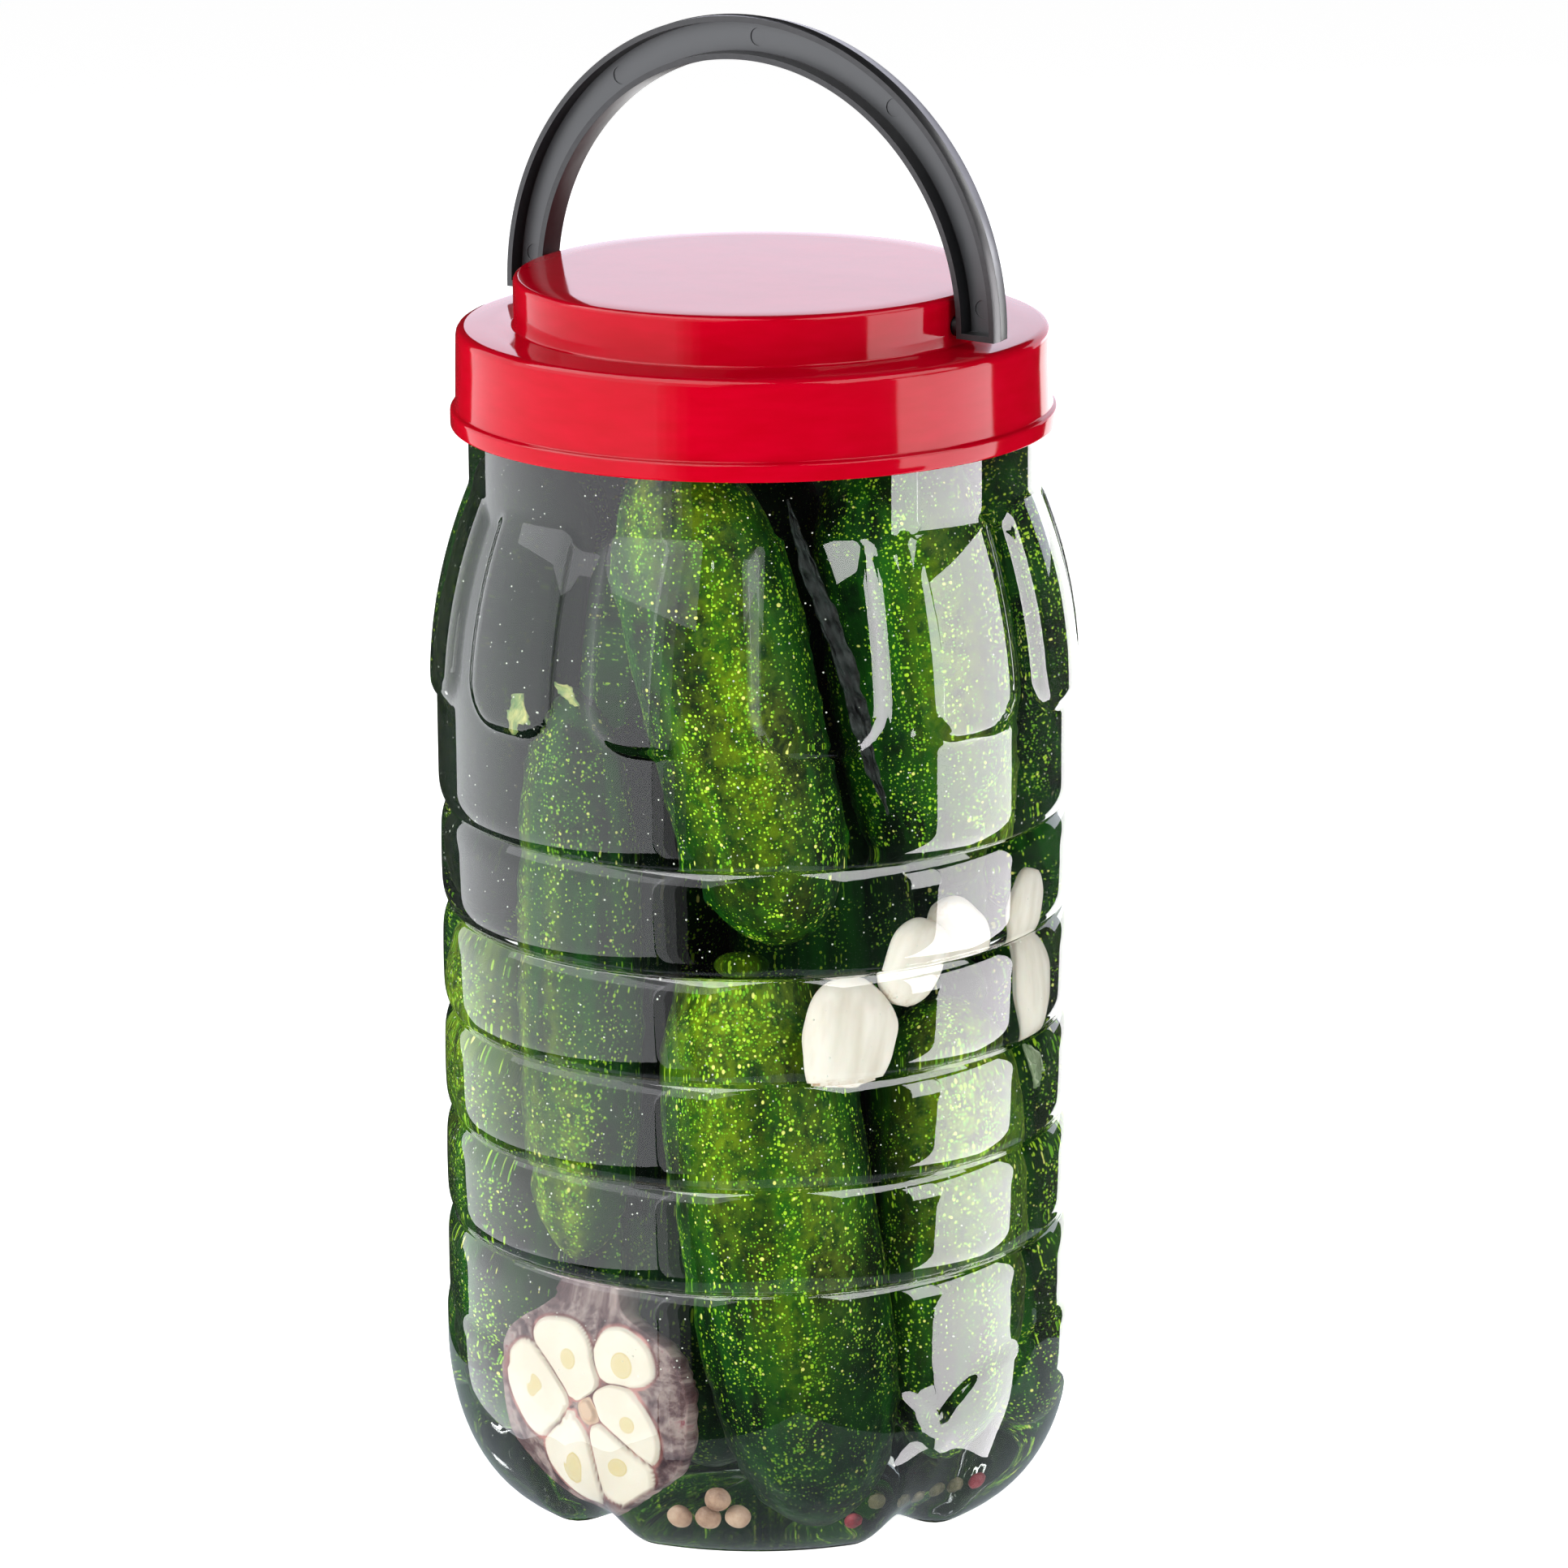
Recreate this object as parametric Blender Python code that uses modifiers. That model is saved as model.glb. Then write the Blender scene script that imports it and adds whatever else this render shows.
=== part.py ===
"""Plastic jar of cucumbers in brine, with a red screw lid and a black carrying handle.

The jar is blown in one piece, with ribs round the body, raised pads round the shoulder
and five feet. The handle turns on two pins in the wall of the lid's raised disc.
Metres, +Z up, origin at the centre of the base, handle pivots along X.
"""
import math

import bmesh
import bpy
from mathutils import Matrix, Vector

MM = 0.001

# Jar, in millimetres
WALL = 1.0
BASE_RADIUS = 50.0
BASE_INNER_RADIUS = 43.5
BASE_RISE = 8.5
CORNER_HEIGHT = 34.0
FOOT_RADIUS = 68.1
FOOT_TOP = 40.5
FOOT_STEP = 3.0
BAND_RADIUS = 67.5
RIB_RADIUS = 67.6
GROOVE_RADIUS = 66.0
GROOVE_HALF_WIDTH = 2.4
GROOVE_COUNT = 5
FIRST_GROOVE = 61.9
RIB_PITCH = 22.84
SHOULDER_START = 176.0
SHOULDER_RADIUS = 67.9
NECK_START = 218.0
NECK_RADIUS = 60.3
NECK_TOP = 253.1
SHOULDER_POWER = 2.1
OUTER_SHOULDER_HEIGHTS = (217.0, 212.0, 205.5, 198.5, 191.0, 184.0, 178.5)
INNER_SHOULDER_HEIGHTS = (178.5, 191.5, 202.5, 212.0)

# Raised pads of the shoulder
LOBE_COUNT = 12
LOBE_HEIGHT = 1.5
LOBE_BOTTOM = 176.8
LOBE_HALF_ANGLE = math.radians(13.0)
LOBE_EDGE = 1.5
LOBE_SPREAD = 0.055
STEPS_PER_LOBE = 5
JAR_STEPS = LOBE_COUNT * STEPS_PER_LOBE

# Feet of the base
FOOT_COUNT = 5
FOOT_TURN = math.radians(32.0)
FOOT_VALLEY_HALF = math.radians(13.0)
FOOT_VALLEY_DEPTH = 3.5
FOOT_ARCH_DROP = 12.0
FOOT_ARCH_FOOT = 6.0

# Lid
LID_BOTTOM = 234.4
LID_BEAD_RADIUS = 64.0
LID_BEAD_HEIGHT = 3.2
LID_SKIRT_RADIUS = 62.8
LID_SKIRT_TOP = 255.4
LID_DISC_RADIUS = 50.4
LID_TOP = 265.8
LID_WALL = 1.8
LID_PLATE = 2.0
LID_STEPS = 60

# Handle
HANDLE_CENTRE = 258.6
HANDLE_OUTER = 61.6
HANDLE_INNER = 52.3
HANDLE_WIDTH = 6.4
HANDLE_END = 257.4
HANDLE_FLANGE = 1.3
HANDLE_RECESS = 3.5
HANDLE_STEPS = 36
PIVOT_HEIGHT = 259.6
PIN_RADIUS = 1.9
PIN_LENGTH = 3.0
PIN_CLEARANCE = 0.3

# Contents, in a frame turned from the handle's plane: +X right, -Y near
CONTENTS_TURN = math.radians(34.0)
CORE_RADIUS = 32.0
CORE_BOTTOM = 14.0
CORE_TOP = 226.0
CUCUMBER_SIDES = 8
CUCUMBER_RINGS = 6

# Cucumbers: right and near of the top, its height, the same of the bottom, radius, bow
CUCUMBERS = {
    "front_upper": ((-15.5, 38.0, 238.0), (6.0, 45.5, 134.0), 17.5, 0.5),
    "front_lower": ((-4.5, 38.5, 131.0), (12.0, 38.5, 7.0), 19.8, 4.0),
    "right_upper": ((25.0, 31.0, 238.0), (36.0, 28.0, 141.0), 18.6, 0.0),
    "right_lower": ((33.0, 25.5, 117.0), (34.0, 26.5, 17.0), 17.2, 3.0),
    "left_middle": ((-34.0, 36.0, 186.0), (-35.0, 36.5, 62.5), 13.6, 0.0),
    "left_inner": ((-23.0, 23.0, 176.0), (-23.0, 23.0, 68.0), 10.5, 0.0),
    "side_left_lower": ((-45.5, 2.0, 126.0), (-40.0, 3.0, 16.0), 17.0, 2.0),
    "side_left_upper": ((-38.5, 6.0, 232.0), (-46.0, 2.0, 130.0), 17.4, 1.0),
    "side_right_lower": ((45.5, -9.0, 122.0), (40.5, -8.0, 14.0), 17.4, 2.0),
    "side_right_upper": ((39.0, -7.0, 230.0), (45.5, -9.0, 126.0), 17.8, 1.0),
    "back_right_lower": ((26.5, -38.5, 128.0), (25.0, -33.5, 12.0), 17.6, 2.0),
    "back_right_upper": ((22.5, -33.5, 234.0), (27.0, -38.0, 133.0), 17.6, 1.0),
    "back_left_lower": ((-9.5, -45.5, 120.0), (-8.0, -40.5, 13.0), 17.6, 2.0),
    "back_left_upper": ((-9.0, -40.0, 228.0), (-10.0, -45.5, 125.0), 18.0, 1.0),
    "far_left_lower": ((-39.0, -29.5, 132.0), (-34.5, -26.0, 15.0), 16.6, 1.0),
    "far_left_upper": ((-33.0, -25.0, 236.0), (-39.0, -29.0, 137.0), 16.8, 1.0),
}

# Halved garlic bulb: centre of its cut face, radius, depth and how its face is turned
BULB_CENTRE = (-33.7, 39.7, 31.5)
BULB_RADIUS = 23.3
BULB_DEPTH = 17.0
BULB_TURN = math.radians(-41.0)

# Garlic cloves: right, near, height, length, width, thickness, turn, lean
CLOVES = (
    (17.8, 55.8, 115.5, 24.0, 20.5, 11.0, 18.0, 188.0),
    (30.7, 48.8, 130.0, 19.5, 15.0, 12.0, 32.0, 208.0),
    (38.5, 37.5, 133.0, 17.5, 14.0, 12.0, 44.0, -35.0),
    (52.4, 26.8, 136.2, 15.5, 12.0, 9.6, 62.0, 20.0),
    (54.0, 24.8, 117.3, 20.5, 13.5, 9.6, 64.0, 174.0),
)

# Spices on the floor: angle from the near side and distance from the axis
ALLSPICE_RADIUS = 2.8
ALLSPICE = ((-16.8, 57.9), (-10.8, 58.0), (-4.7, 58.3), (-8.5, 60.5))
PEPPERCORN_RADIUS = 2.0
PEPPERCORNS = ((19.0, 58.0), (23.4, 59.3), (30.7, 56.1), (35.3, 55.8),
               (40.0, 56.6), (44.3, 57.6), (48.6, 59.6))
# Height of the spices above the floor, whose slope brings them nearer than that
SPICE_GAP = 0.75

# Scraps of leaf against the wall: angle, distance, height, size, tilt
LEAF_SCRAPS = ((-49.0, 62.6, 182.0, 6.5, 25.0), (-37.5, 61.8, 187.5, 6.0, -60.0))
LEAF_THICKNESS = 0.6
SCRAP_RIPPLE = 0.35

# Strip of leaf in the gap right of the upper front cucumber
STRIP_TOP = (6.5, 53.0, 229.0)
STRIP_BOTTOM = (26.0, 53.5, 163.0)
STRIP_WIDTH = 4.5
STRIP_WAVES = 7
STRIP_RIPPLE = 0.9
STRIP_STEPS = 28


def clear_scene():
    for item in list(bpy.data.objects):
        bpy.data.objects.remove(item, do_unlink=True)


def make_collection(name):
    collection = bpy.data.collections.new(name)
    bpy.context.scene.collection.children.link(collection)
    return collection


def make_material(name, color, roughness, metallic=0.0, transmission=0.0):
    material = bpy.data.materials.new(name)
    material.use_nodes = True
    shader = material.node_tree.nodes["Principled BSDF"]
    shader.inputs["Base Color"].default_value = (*color, 1.0)
    shader.inputs["Roughness"].default_value = roughness
    shader.inputs["Metallic"].default_value = metallic
    shader.inputs["Transmission Weight"].default_value = transmission
    material.diffuse_color = (*color, 1.0)
    return material


def add_object(name, mesh, collection, material=None, parent=None):
    item = bpy.data.objects.new(name, mesh)
    collection.objects.link(item)
    if material:
        mesh.materials.clear()
        mesh.materials.append(material)
    item.parent = parent
    return item


def applied_mesh(item):
    """The object's evaluated mesh; the object itself is removed."""
    bpy.context.view_layer.update()
    graph = bpy.context.evaluated_depsgraph_get()
    mesh = bpy.data.meshes.new_from_object(item.evaluated_get(graph))
    bpy.data.objects.remove(item, do_unlink=True)
    return mesh


def turned_mesh(name, profile, steps, collection, angle=2 * math.pi):
    """A profile of (radius, height) in millimetres turned about the Z axis."""
    outline = bpy.data.meshes.new(name)
    points = [(radius * MM, 0.0, height * MM) for radius, height in profile]
    edges = [(index, index + 1) for index in range(len(points) - 1)]
    full_turn = angle >= 2 * math.pi
    if not full_turn:
        edges.append((len(points) - 1, 0))
    outline.from_pydata(points, edges, [])
    item = add_object(name + "_outline", outline, collection)
    screw = item.modifiers.new("turn", "SCREW")
    screw.angle = angle
    screw.steps = steps
    screw.render_steps = steps
    screw.use_merge_vertices = full_turn
    screw.merge_threshold = 0.00001
    return applied_mesh(item)


def boolean(item, cutter, operation, solver="EXACT"):
    modifier = item.modifiers.new(operation.lower(), "BOOLEAN")
    modifier.operation = operation
    modifier.solver = solver
    modifier.object = cutter
    cutter.hide_render = True
    cutter.display_type = "WIRE"


def smooth_shading(item, angle_degrees=35.0):
    item.data.shade_smooth()
    item.data.set_sharp_from_angle(angle=math.radians(angle_degrees))


def around(x, y):
    """Angle about the axis, from the -Y side towards +X."""
    return math.atan2(x, -y)


def nearest_offset(angle, count, turn):
    """Angle from the nearest of count even places, the first at turn."""
    pitch = 2 * math.pi / count
    return (angle - turn + pitch / 2) % pitch - pitch / 2


def shoulder_radius(height):
    rise = (height - SHOULDER_START) / (NECK_START - SHOULDER_START)
    return SHOULDER_RADIUS - (SHOULDER_RADIUS - NECK_RADIUS) * max(rise, 0.0) ** SHOULDER_POWER


def corner_point(turn, wall):
    """Point of the rounded base corner, from the standing ring (0) to the wall (90 degrees)."""
    radius = BASE_RADIUS + (FOOT_RADIUS - wall - BASE_RADIUS) * math.sin(turn)
    height = wall + (CORNER_HEIGHT - wall) * (1 - math.cos(turn))
    return radius, height


def outer_profile():
    """Outside of the jar, from the rim down to the middle of the base."""
    points = [(NECK_RADIUS, NECK_TOP), (NECK_RADIUS, NECK_START + 1.5)]
    points += [(shoulder_radius(z), z) for z in OUTER_SHOULDER_HEIGHTS]
    points.append((SHOULDER_RADIUS, SHOULDER_START - 1.5))
    for index in reversed(range(GROOVE_COUNT)):
        middle = FIRST_GROOVE + RIB_PITCH * index
        top_radius = SHOULDER_RADIUS if index == GROOVE_COUNT - 1 else RIB_RADIUS
        points.append((top_radius, middle + GROOVE_HALF_WIDTH))
        points.append((GROOVE_RADIUS, middle))
        points.append((RIB_RADIUS, middle - GROOVE_HALF_WIDTH))
    points += [(BAND_RADIUS, FOOT_TOP + FOOT_STEP), (FOOT_RADIUS, FOOT_TOP)]
    points += [corner_point(math.radians(turn), 0.0) for turn in (90, 72, 54, 36, 18, 0)]
    points += [(BASE_INNER_RADIUS, 0.0), (BASE_INNER_RADIUS * 0.62, BASE_RISE * 0.6), (0.0, BASE_RISE)]
    return points


def inner_profile():
    """Inside of the jar, from the middle of the floor up to the rim."""
    points = [(0.0, BASE_RISE + WALL), (BASE_INNER_RADIUS * 0.62, BASE_RISE * 0.6 + WALL)]
    points.append((BASE_INNER_RADIUS, WALL))
    points += [corner_point(math.radians(turn), WALL) for turn in (0, 30, 60, 90)]
    points.append((BAND_RADIUS - WALL, FOOT_TOP + FOOT_STEP))
    for index in range(GROOVE_COUNT):
        middle = FIRST_GROOVE + RIB_PITCH * index
        points.append((GROOVE_RADIUS - WALL, middle))
        points.append((RIB_RADIUS - WALL, middle + RIB_PITCH / 2))
    points += [(shoulder_radius(z) - WALL, z) for z in INNER_SHOULDER_HEIGHTS]
    points += [(NECK_RADIUS - WALL, NECK_START + 1.5), (NECK_RADIUS - WALL, NECK_TOP)]
    return points


def lobe_relief(angle, height):
    """How far the shoulder's pads stand out: U shapes, round below and open at the neck."""
    offset = abs(nearest_offset(angle, LOBE_COUNT, math.pi / LOBE_COUNT))
    if offset > LOBE_HALF_ANGLE or height > NECK_START:
        return 0.0
    reach = LOBE_HALF_ANGLE * SHOULDER_RADIUS
    across = offset * SHOULDER_RADIUS
    bottom = LOBE_BOTTOM + reach - math.sqrt(max(reach ** 2 - across ** 2, 0.0))
    return LOBE_HEIGHT * min(max((height - bottom) / LOBE_EDGE, 0.0), 1.0)


def foot_valley(angle):
    """1 along the middle of the valley between two feet, 0 on the feet."""
    half_pitch = math.pi / FOOT_COUNT
    offset = abs(nearest_offset(angle, FOOT_COUNT, FOOT_TURN + half_pitch))
    if offset >= FOOT_VALLEY_HALF:
        return 0.0
    return math.cos(0.5 * math.pi * offset / FOOT_VALLEY_HALF) ** 2


def spread_angle(angle):
    """Draws the mesh's steps towards the valleys between the shoulder's pads."""
    pitch = 2 * math.pi / LOBE_COUNT
    place = (angle / pitch) % 1.0
    shift = LOBE_SPREAD * math.sin(2 * math.pi * place)
    return angle - shift * pitch


def shape_jar_point(x, y, z):
    """Adds the shoulder's pads and the feet to a point of the turned jar (millimetres)."""
    radius = math.hypot(x, y)
    if radius < 0.01:
        return x, y, z
    angle = spread_angle(around(x, y))
    height = z
    radius += lobe_relief(angle, height)
    valley = foot_valley(angle)
    foot_top = FOOT_TOP + FOOT_STEP
    if z < foot_top + 0.5:
        half_pitch = math.pi / FOOT_COUNT
        off_foot = abs(nearest_offset(angle, FOOT_COUNT, FOOT_TURN)) / half_pitch
        lift = max(z - FOOT_ARCH_FOOT, 0.0) / (foot_top - FOOT_ARCH_FOOT)
        height -= FOOT_ARCH_DROP * off_foot ** 4 * lift
        low = 1 - min(z / CORNER_HEIGHT, 1.0)
        outward = min(radius / BASE_INNER_RADIUS, 1.0) ** 2
        radius -= FOOT_VALLEY_DEPTH * valley * (0.2 + 0.8 * low) * outward
        height += FOOT_VALLEY_DEPTH * valley * low * outward
    return radius * math.sin(angle), -radius * math.cos(angle), height


def make_jar(collection, material):
    profile = inner_profile() + outer_profile()
    mesh = turned_mesh("jar", profile, JAR_STEPS, collection)
    for vertex in mesh.vertices:
        x, y, z = (value / MM for value in vertex.co)
        vertex.co = Vector(shape_jar_point(x, y, z)) * MM
    item = add_object("jar", mesh, collection, material)
    smooth_shading(item, 25.0)
    return item


def lid_profile():
    """Section of the lid, from the middle of its top down the outside and up the inside."""
    top_edge = LID_SKIRT_TOP - 2.0
    bead_top = LID_BOTTOM + LID_BEAD_HEIGHT
    return [
        (0.0, LID_TOP), (LID_DISC_RADIUS - 1.2, LID_TOP), (LID_DISC_RADIUS - 0.3, LID_TOP - 0.4),
        (LID_DISC_RADIUS, LID_TOP - 1.3), (LID_DISC_RADIUS, LID_SKIRT_TOP + 0.5),
        (LID_DISC_RADIUS + 0.5, LID_SKIRT_TOP), (LID_SKIRT_RADIUS - 2.0, LID_SKIRT_TOP),
        (LID_SKIRT_RADIUS - 0.6, LID_SKIRT_TOP - 0.6), (LID_SKIRT_RADIUS, top_edge),
        (LID_SKIRT_RADIUS + 0.1, bead_top), (LID_BEAD_RADIUS, bead_top - 0.3),
        (LID_BEAD_RADIUS, LID_BOTTOM), (LID_SKIRT_RADIUS - LID_WALL, LID_BOTTOM),
        (LID_SKIRT_RADIUS - LID_WALL, LID_SKIRT_TOP - LID_PLATE),
        (LID_DISC_RADIUS - LID_WALL, LID_SKIRT_TOP - LID_PLATE),
        (LID_DISC_RADIUS - LID_WALL, LID_TOP - LID_PLATE), (0.0, LID_TOP - LID_PLATE),
    ]


def rod_along_x(name, start, end, height, radius, collection):
    """A round rod along X, in millimetres."""
    mesh = bpy.data.meshes.new(name)
    shape = bmesh.new()
    bmesh.ops.create_cone(shape, cap_ends=True, segments=16, radius1=radius * MM,
                          radius2=radius * MM, depth=(end - start) * MM)
    bmesh.ops.transform(shape, matrix=Matrix.Rotation(math.pi / 2, 4, "Y"), verts=shape.verts)
    shape.to_mesh(mesh)
    shape.free()
    item = add_object(name, mesh, collection)
    item.location = ((start + end) / 2 * MM, 0.0, height * MM)
    return item


def make_lid(collection, cutters, material):
    mesh = turned_mesh("lid", lid_profile(), LID_STEPS, collection)
    lid = add_object("lid", mesh, collection, material)
    hole_radius = PIN_RADIUS + PIN_CLEARANCE
    inner = LID_DISC_RADIUS - LID_WALL - 1.0
    outer = LID_DISC_RADIUS + 1.0
    right = rod_along_x("pin_hole_right", inner, outer, PIVOT_HEIGHT, hole_radius, cutters)
    left = rod_along_x("pin_hole_left", -outer, -inner, PIVOT_HEIGHT, hole_radius, cutters)
    boolean(lid, right, "DIFFERENCE")
    boolean(lid, left, "DIFFERENCE")
    smooth_shading(lid)
    return lid


def swept_arch(name, section, end_drop, collection, parent):
    """A closed section of (radius, across) swept over the top of the handle."""
    extra = math.asin(end_drop / HANDLE_OUTER)
    mesh = turned_mesh(name, section, HANDLE_STEPS, collection, math.pi + 2 * extra)
    shape = bmesh.new()
    shape.from_mesh(mesh)
    bmesh.ops.remove_doubles(shape, verts=shape.verts, dist=0.000001)
    ends = [edge for edge in shape.edges if edge.is_boundary]
    bmesh.ops.holes_fill(shape, edges=ends, sides=0)
    bmesh.ops.rotate(shape, cent=(0, 0, 0), matrix=Matrix.Rotation(-extra, 3, "Z"), verts=shape.verts)
    bmesh.ops.rotate(shape, cent=(0, 0, 0), matrix=Matrix.Rotation(math.pi / 2, 3, "X"), verts=shape.verts)
    bmesh.ops.translate(shape, vec=(0, 0, (HANDLE_CENTRE - PIVOT_HEIGHT) * MM), verts=shape.verts)
    bmesh.ops.recalc_face_normals(shape, faces=shape.faces)
    bmesh.ops.triangulate(shape, faces=[face for face in shape.faces if len(face.verts) > 4])
    shape.to_mesh(mesh)
    shape.free()
    return add_object(name, mesh, collection, parent=parent)


def make_handle(collection, cutters, material):
    """Arched channel, open to the -Y side, on two pins; its parent empty is the pivot."""
    pivot = bpy.data.objects.new("handle_pivot", None)
    collection.objects.link(pivot)
    pivot.location = (0.0, 0.0, PIVOT_HEIGHT * MM)
    half = HANDLE_WIDTH / 2
    body_section = [
        (HANDLE_INNER, half), (HANDLE_INNER + 0.25, -half), (HANDLE_OUTER - 0.8, -half),
        (HANDLE_OUTER, 0.6), (HANDLE_OUTER - 0.1, half),
    ]
    recess_section = [
        (HANDLE_INNER + HANDLE_FLANGE, half + 1.0), (HANDLE_INNER + HANDLE_FLANGE, half - HANDLE_RECESS),
        (HANDLE_OUTER - HANDLE_FLANGE, half - HANDLE_RECESS), (HANDLE_OUTER - HANDLE_FLANGE, half + 1.0),
    ]
    end_drop = HANDLE_CENTRE - HANDLE_END
    handle = swept_arch("handle", body_section, end_drop, collection, pivot)
    recess = swept_arch("handle_recess", recess_section, end_drop - HANDLE_FLANGE, cutters, pivot)
    boolean(handle, recess, "DIFFERENCE")
    inner = HANDLE_INNER - PIN_LENGTH
    outer = HANDLE_INNER + HANDLE_FLANGE / 2
    for side, name in ((1, "pin_right"), (-1, "pin_left")):
        start, end = sorted((side * inner, side * outer))
        pin = rod_along_x(name, start, end, 0.0, PIN_RADIUS, cutters)
        pin.parent = pivot
        boolean(handle, pin, "UNION")
    handle.data.materials.append(material)
    smooth_shading(handle)
    return handle


def cucumber_section(along):
    """Radius of a cucumber at a share of its length, as a share of its full radius."""
    off_middle = abs(2 * along - 1)
    return (1 - off_middle ** 4.2) ** 0.5 * (1 - 0.06 * (2 * along - 1) ** 2)


def make_cucumber(name, top, bottom, radius, bow, collection):
    """A cucumber in the contents' frame, bowed outwards in its middle."""
    start = Vector((bottom[0], -bottom[1], bottom[2]))
    finish = Vector((top[0], -top[1], top[2]))
    middle = (start + finish) / 2
    outward = Vector((middle.x, middle.y, 0.0)).normalized()
    axis = (finish - start).normalized()
    side = axis.cross(outward).normalized()
    front = side.cross(axis)
    shape = bmesh.new()
    rings = []
    for number in range(1, CUCUMBER_RINGS + 1):
        along = 0.5 - 0.5 * math.cos(math.pi * number / (CUCUMBER_RINGS + 1))
        centre = start.lerp(finish, along) + outward * bow * (1 - (2 * along - 1) ** 2)
        reach = radius * cucumber_section(along)
        ring = []
        for step in range(CUCUMBER_SIDES):
            turn = 2 * math.pi * step / CUCUMBER_SIDES
            point = centre + (side * math.sin(turn) + front * math.cos(turn)) * reach
            ring.append(shape.verts.new(point * MM))
        rings.append(ring)
    ends = (shape.verts.new(start * MM), shape.verts.new(finish * MM))
    for step in range(CUCUMBER_SIDES):
        following = (step + 1) % CUCUMBER_SIDES
        shape.faces.new((ends[0], rings[0][following], rings[0][step]))
        shape.faces.new((ends[1], rings[-1][step], rings[-1][following]))
        for low, high in zip(rings, rings[1:]):
            shape.faces.new((low[step], low[following], high[following], high[step]))
    bmesh.ops.recalc_face_normals(shape, faces=shape.faces)
    mesh = bpy.data.meshes.new(name)
    shape.to_mesh(mesh)
    shape.free()
    return add_object(name, mesh, collection)


def make_cucumbers(collection, parent, material):
    """The packed cucumbers, joined over a plain core."""
    pieces = bpy.data.collections.new("cucumber_pieces")
    bpy.context.scene.collection.children.link(pieces)
    for name, (top, bottom, radius, bow) in CUCUMBERS.items():
        make_cucumber(name, top, bottom, radius, bow, pieces)
    mesh = bpy.data.meshes.new("cucumbers")
    shape = bmesh.new()
    bmesh.ops.create_cone(shape, cap_ends=True, segments=12, radius1=CORE_RADIUS * MM,
                          radius2=CORE_RADIUS * 0.9 * MM, depth=(CORE_TOP - CORE_BOTTOM) * MM)
    bmesh.ops.translate(shape, vec=(0, 0, (CORE_TOP + CORE_BOTTOM) / 2 * MM), verts=shape.verts)
    shape.to_mesh(mesh)
    shape.free()
    core = add_object("core", mesh, collection)
    union = core.modifiers.new("join", "BOOLEAN")
    union.operation = "UNION"
    union.operand_type = "COLLECTION"
    union.collection = pieces
    union.solver = "EXACT"
    joined = applied_mesh(core)
    for item in list(pieces.objects):
        bpy.data.objects.remove(item, do_unlink=True)
    bpy.data.collections.remove(pieces)
    heap = add_object("cucumbers", joined, collection, material, parent)
    smooth_shading(heap, 50.0)
    return heap


def sphere_shape(segments, rings, radius):
    shape = bmesh.new()
    bmesh.ops.create_uvsphere(shape, u_segments=segments, v_segments=rings, radius=radius)
    return shape


def make_bulb(collection, parent, material):
    """Half a garlic bulb, its flat cut face outwards; the back bulges over six cloves."""
    shape = sphere_shape(24, 14, 1.0)
    cut = bmesh.ops.bisect_plane(shape, geom=shape.verts[:] + shape.edges[:] + shape.faces[:],
                                 plane_co=(0, 0, 0), plane_no=(0, -1, 0), clear_outer=True)
    rim = [piece for piece in cut["geom_cut"] if isinstance(piece, bmesh.types.BMEdge)]
    bmesh.ops.holes_fill(shape, edges=rim, sides=0)
    bmesh.ops.recalc_face_normals(shape, faces=shape.faces)
    for vertex in shape.verts:
        turn = math.atan2(vertex.co.x, vertex.co.z)
        swell = 1 + 0.035 * math.cos(6 * turn)
        reach = BULB_RADIUS * swell * MM
        vertex.co = Vector((vertex.co.x * reach, vertex.co.y * BULB_DEPTH * MM, vertex.co.z * reach))
    bmesh.ops.triangulate(shape, faces=[face for face in shape.faces if len(face.verts) > 4])
    mesh = bpy.data.meshes.new("garlic_bulb")
    shape.to_mesh(mesh)
    shape.free()
    bulb = add_object("garlic_bulb", mesh, collection, material, parent)
    bulb.location = Vector((BULB_CENTRE[0], -BULB_CENTRE[1], BULB_CENTRE[2])) * MM
    bulb.rotation_euler = (0.0, 0.0, BULB_TURN)
    smooth_shading(bulb, 40.0)
    return bulb


def clove_mesh():
    """A garlic clove one unit long, wide and thick: a bent drop with a pointed tip."""
    shape = sphere_shape(10, 7, 0.5)
    for vertex in shape.verts:
        up = vertex.co.z + 0.5
        taper = 1 - 0.45 * up ** 3
        vertex.co.x = vertex.co.x * taper + 0.10 * (up - 0.5) ** 2
        vertex.co.y *= taper
    mesh = bpy.data.meshes.new("garlic_clove")
    shape.to_mesh(mesh)
    shape.free()
    return mesh


def make_cloves(collection, parent, material):
    for number, clove in enumerate(CLOVES, start=1):
        right, near, height, length, width, thickness, turn, lean = clove
        mesh = clove_mesh()
        size = Matrix.Diagonal((width * MM, thickness * MM, length * MM, 1.0))
        mesh.transform(Matrix.Rotation(math.radians(lean), 4, "Y") @ size)
        item = add_object(f"garlic_clove_{number}", mesh, collection, material, parent)
        item.location = (right * MM, -near * MM, height * MM)
        item.rotation_euler = (0.0, 0.0, math.radians(turn))
        smooth_shading(item, 60.0)


def height_on(points, radius):
    """Height at a radius of an outline of (radius, height) that starts at the axis."""
    for (near_radius, near_height), (far_radius, far_height) in zip(points, points[1:]):
        if near_radius <= radius <= far_radius:
            share = (radius - near_radius) / (far_radius - near_radius)
            return near_height + share * (far_height - near_height)
    return points[-1][1]


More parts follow.
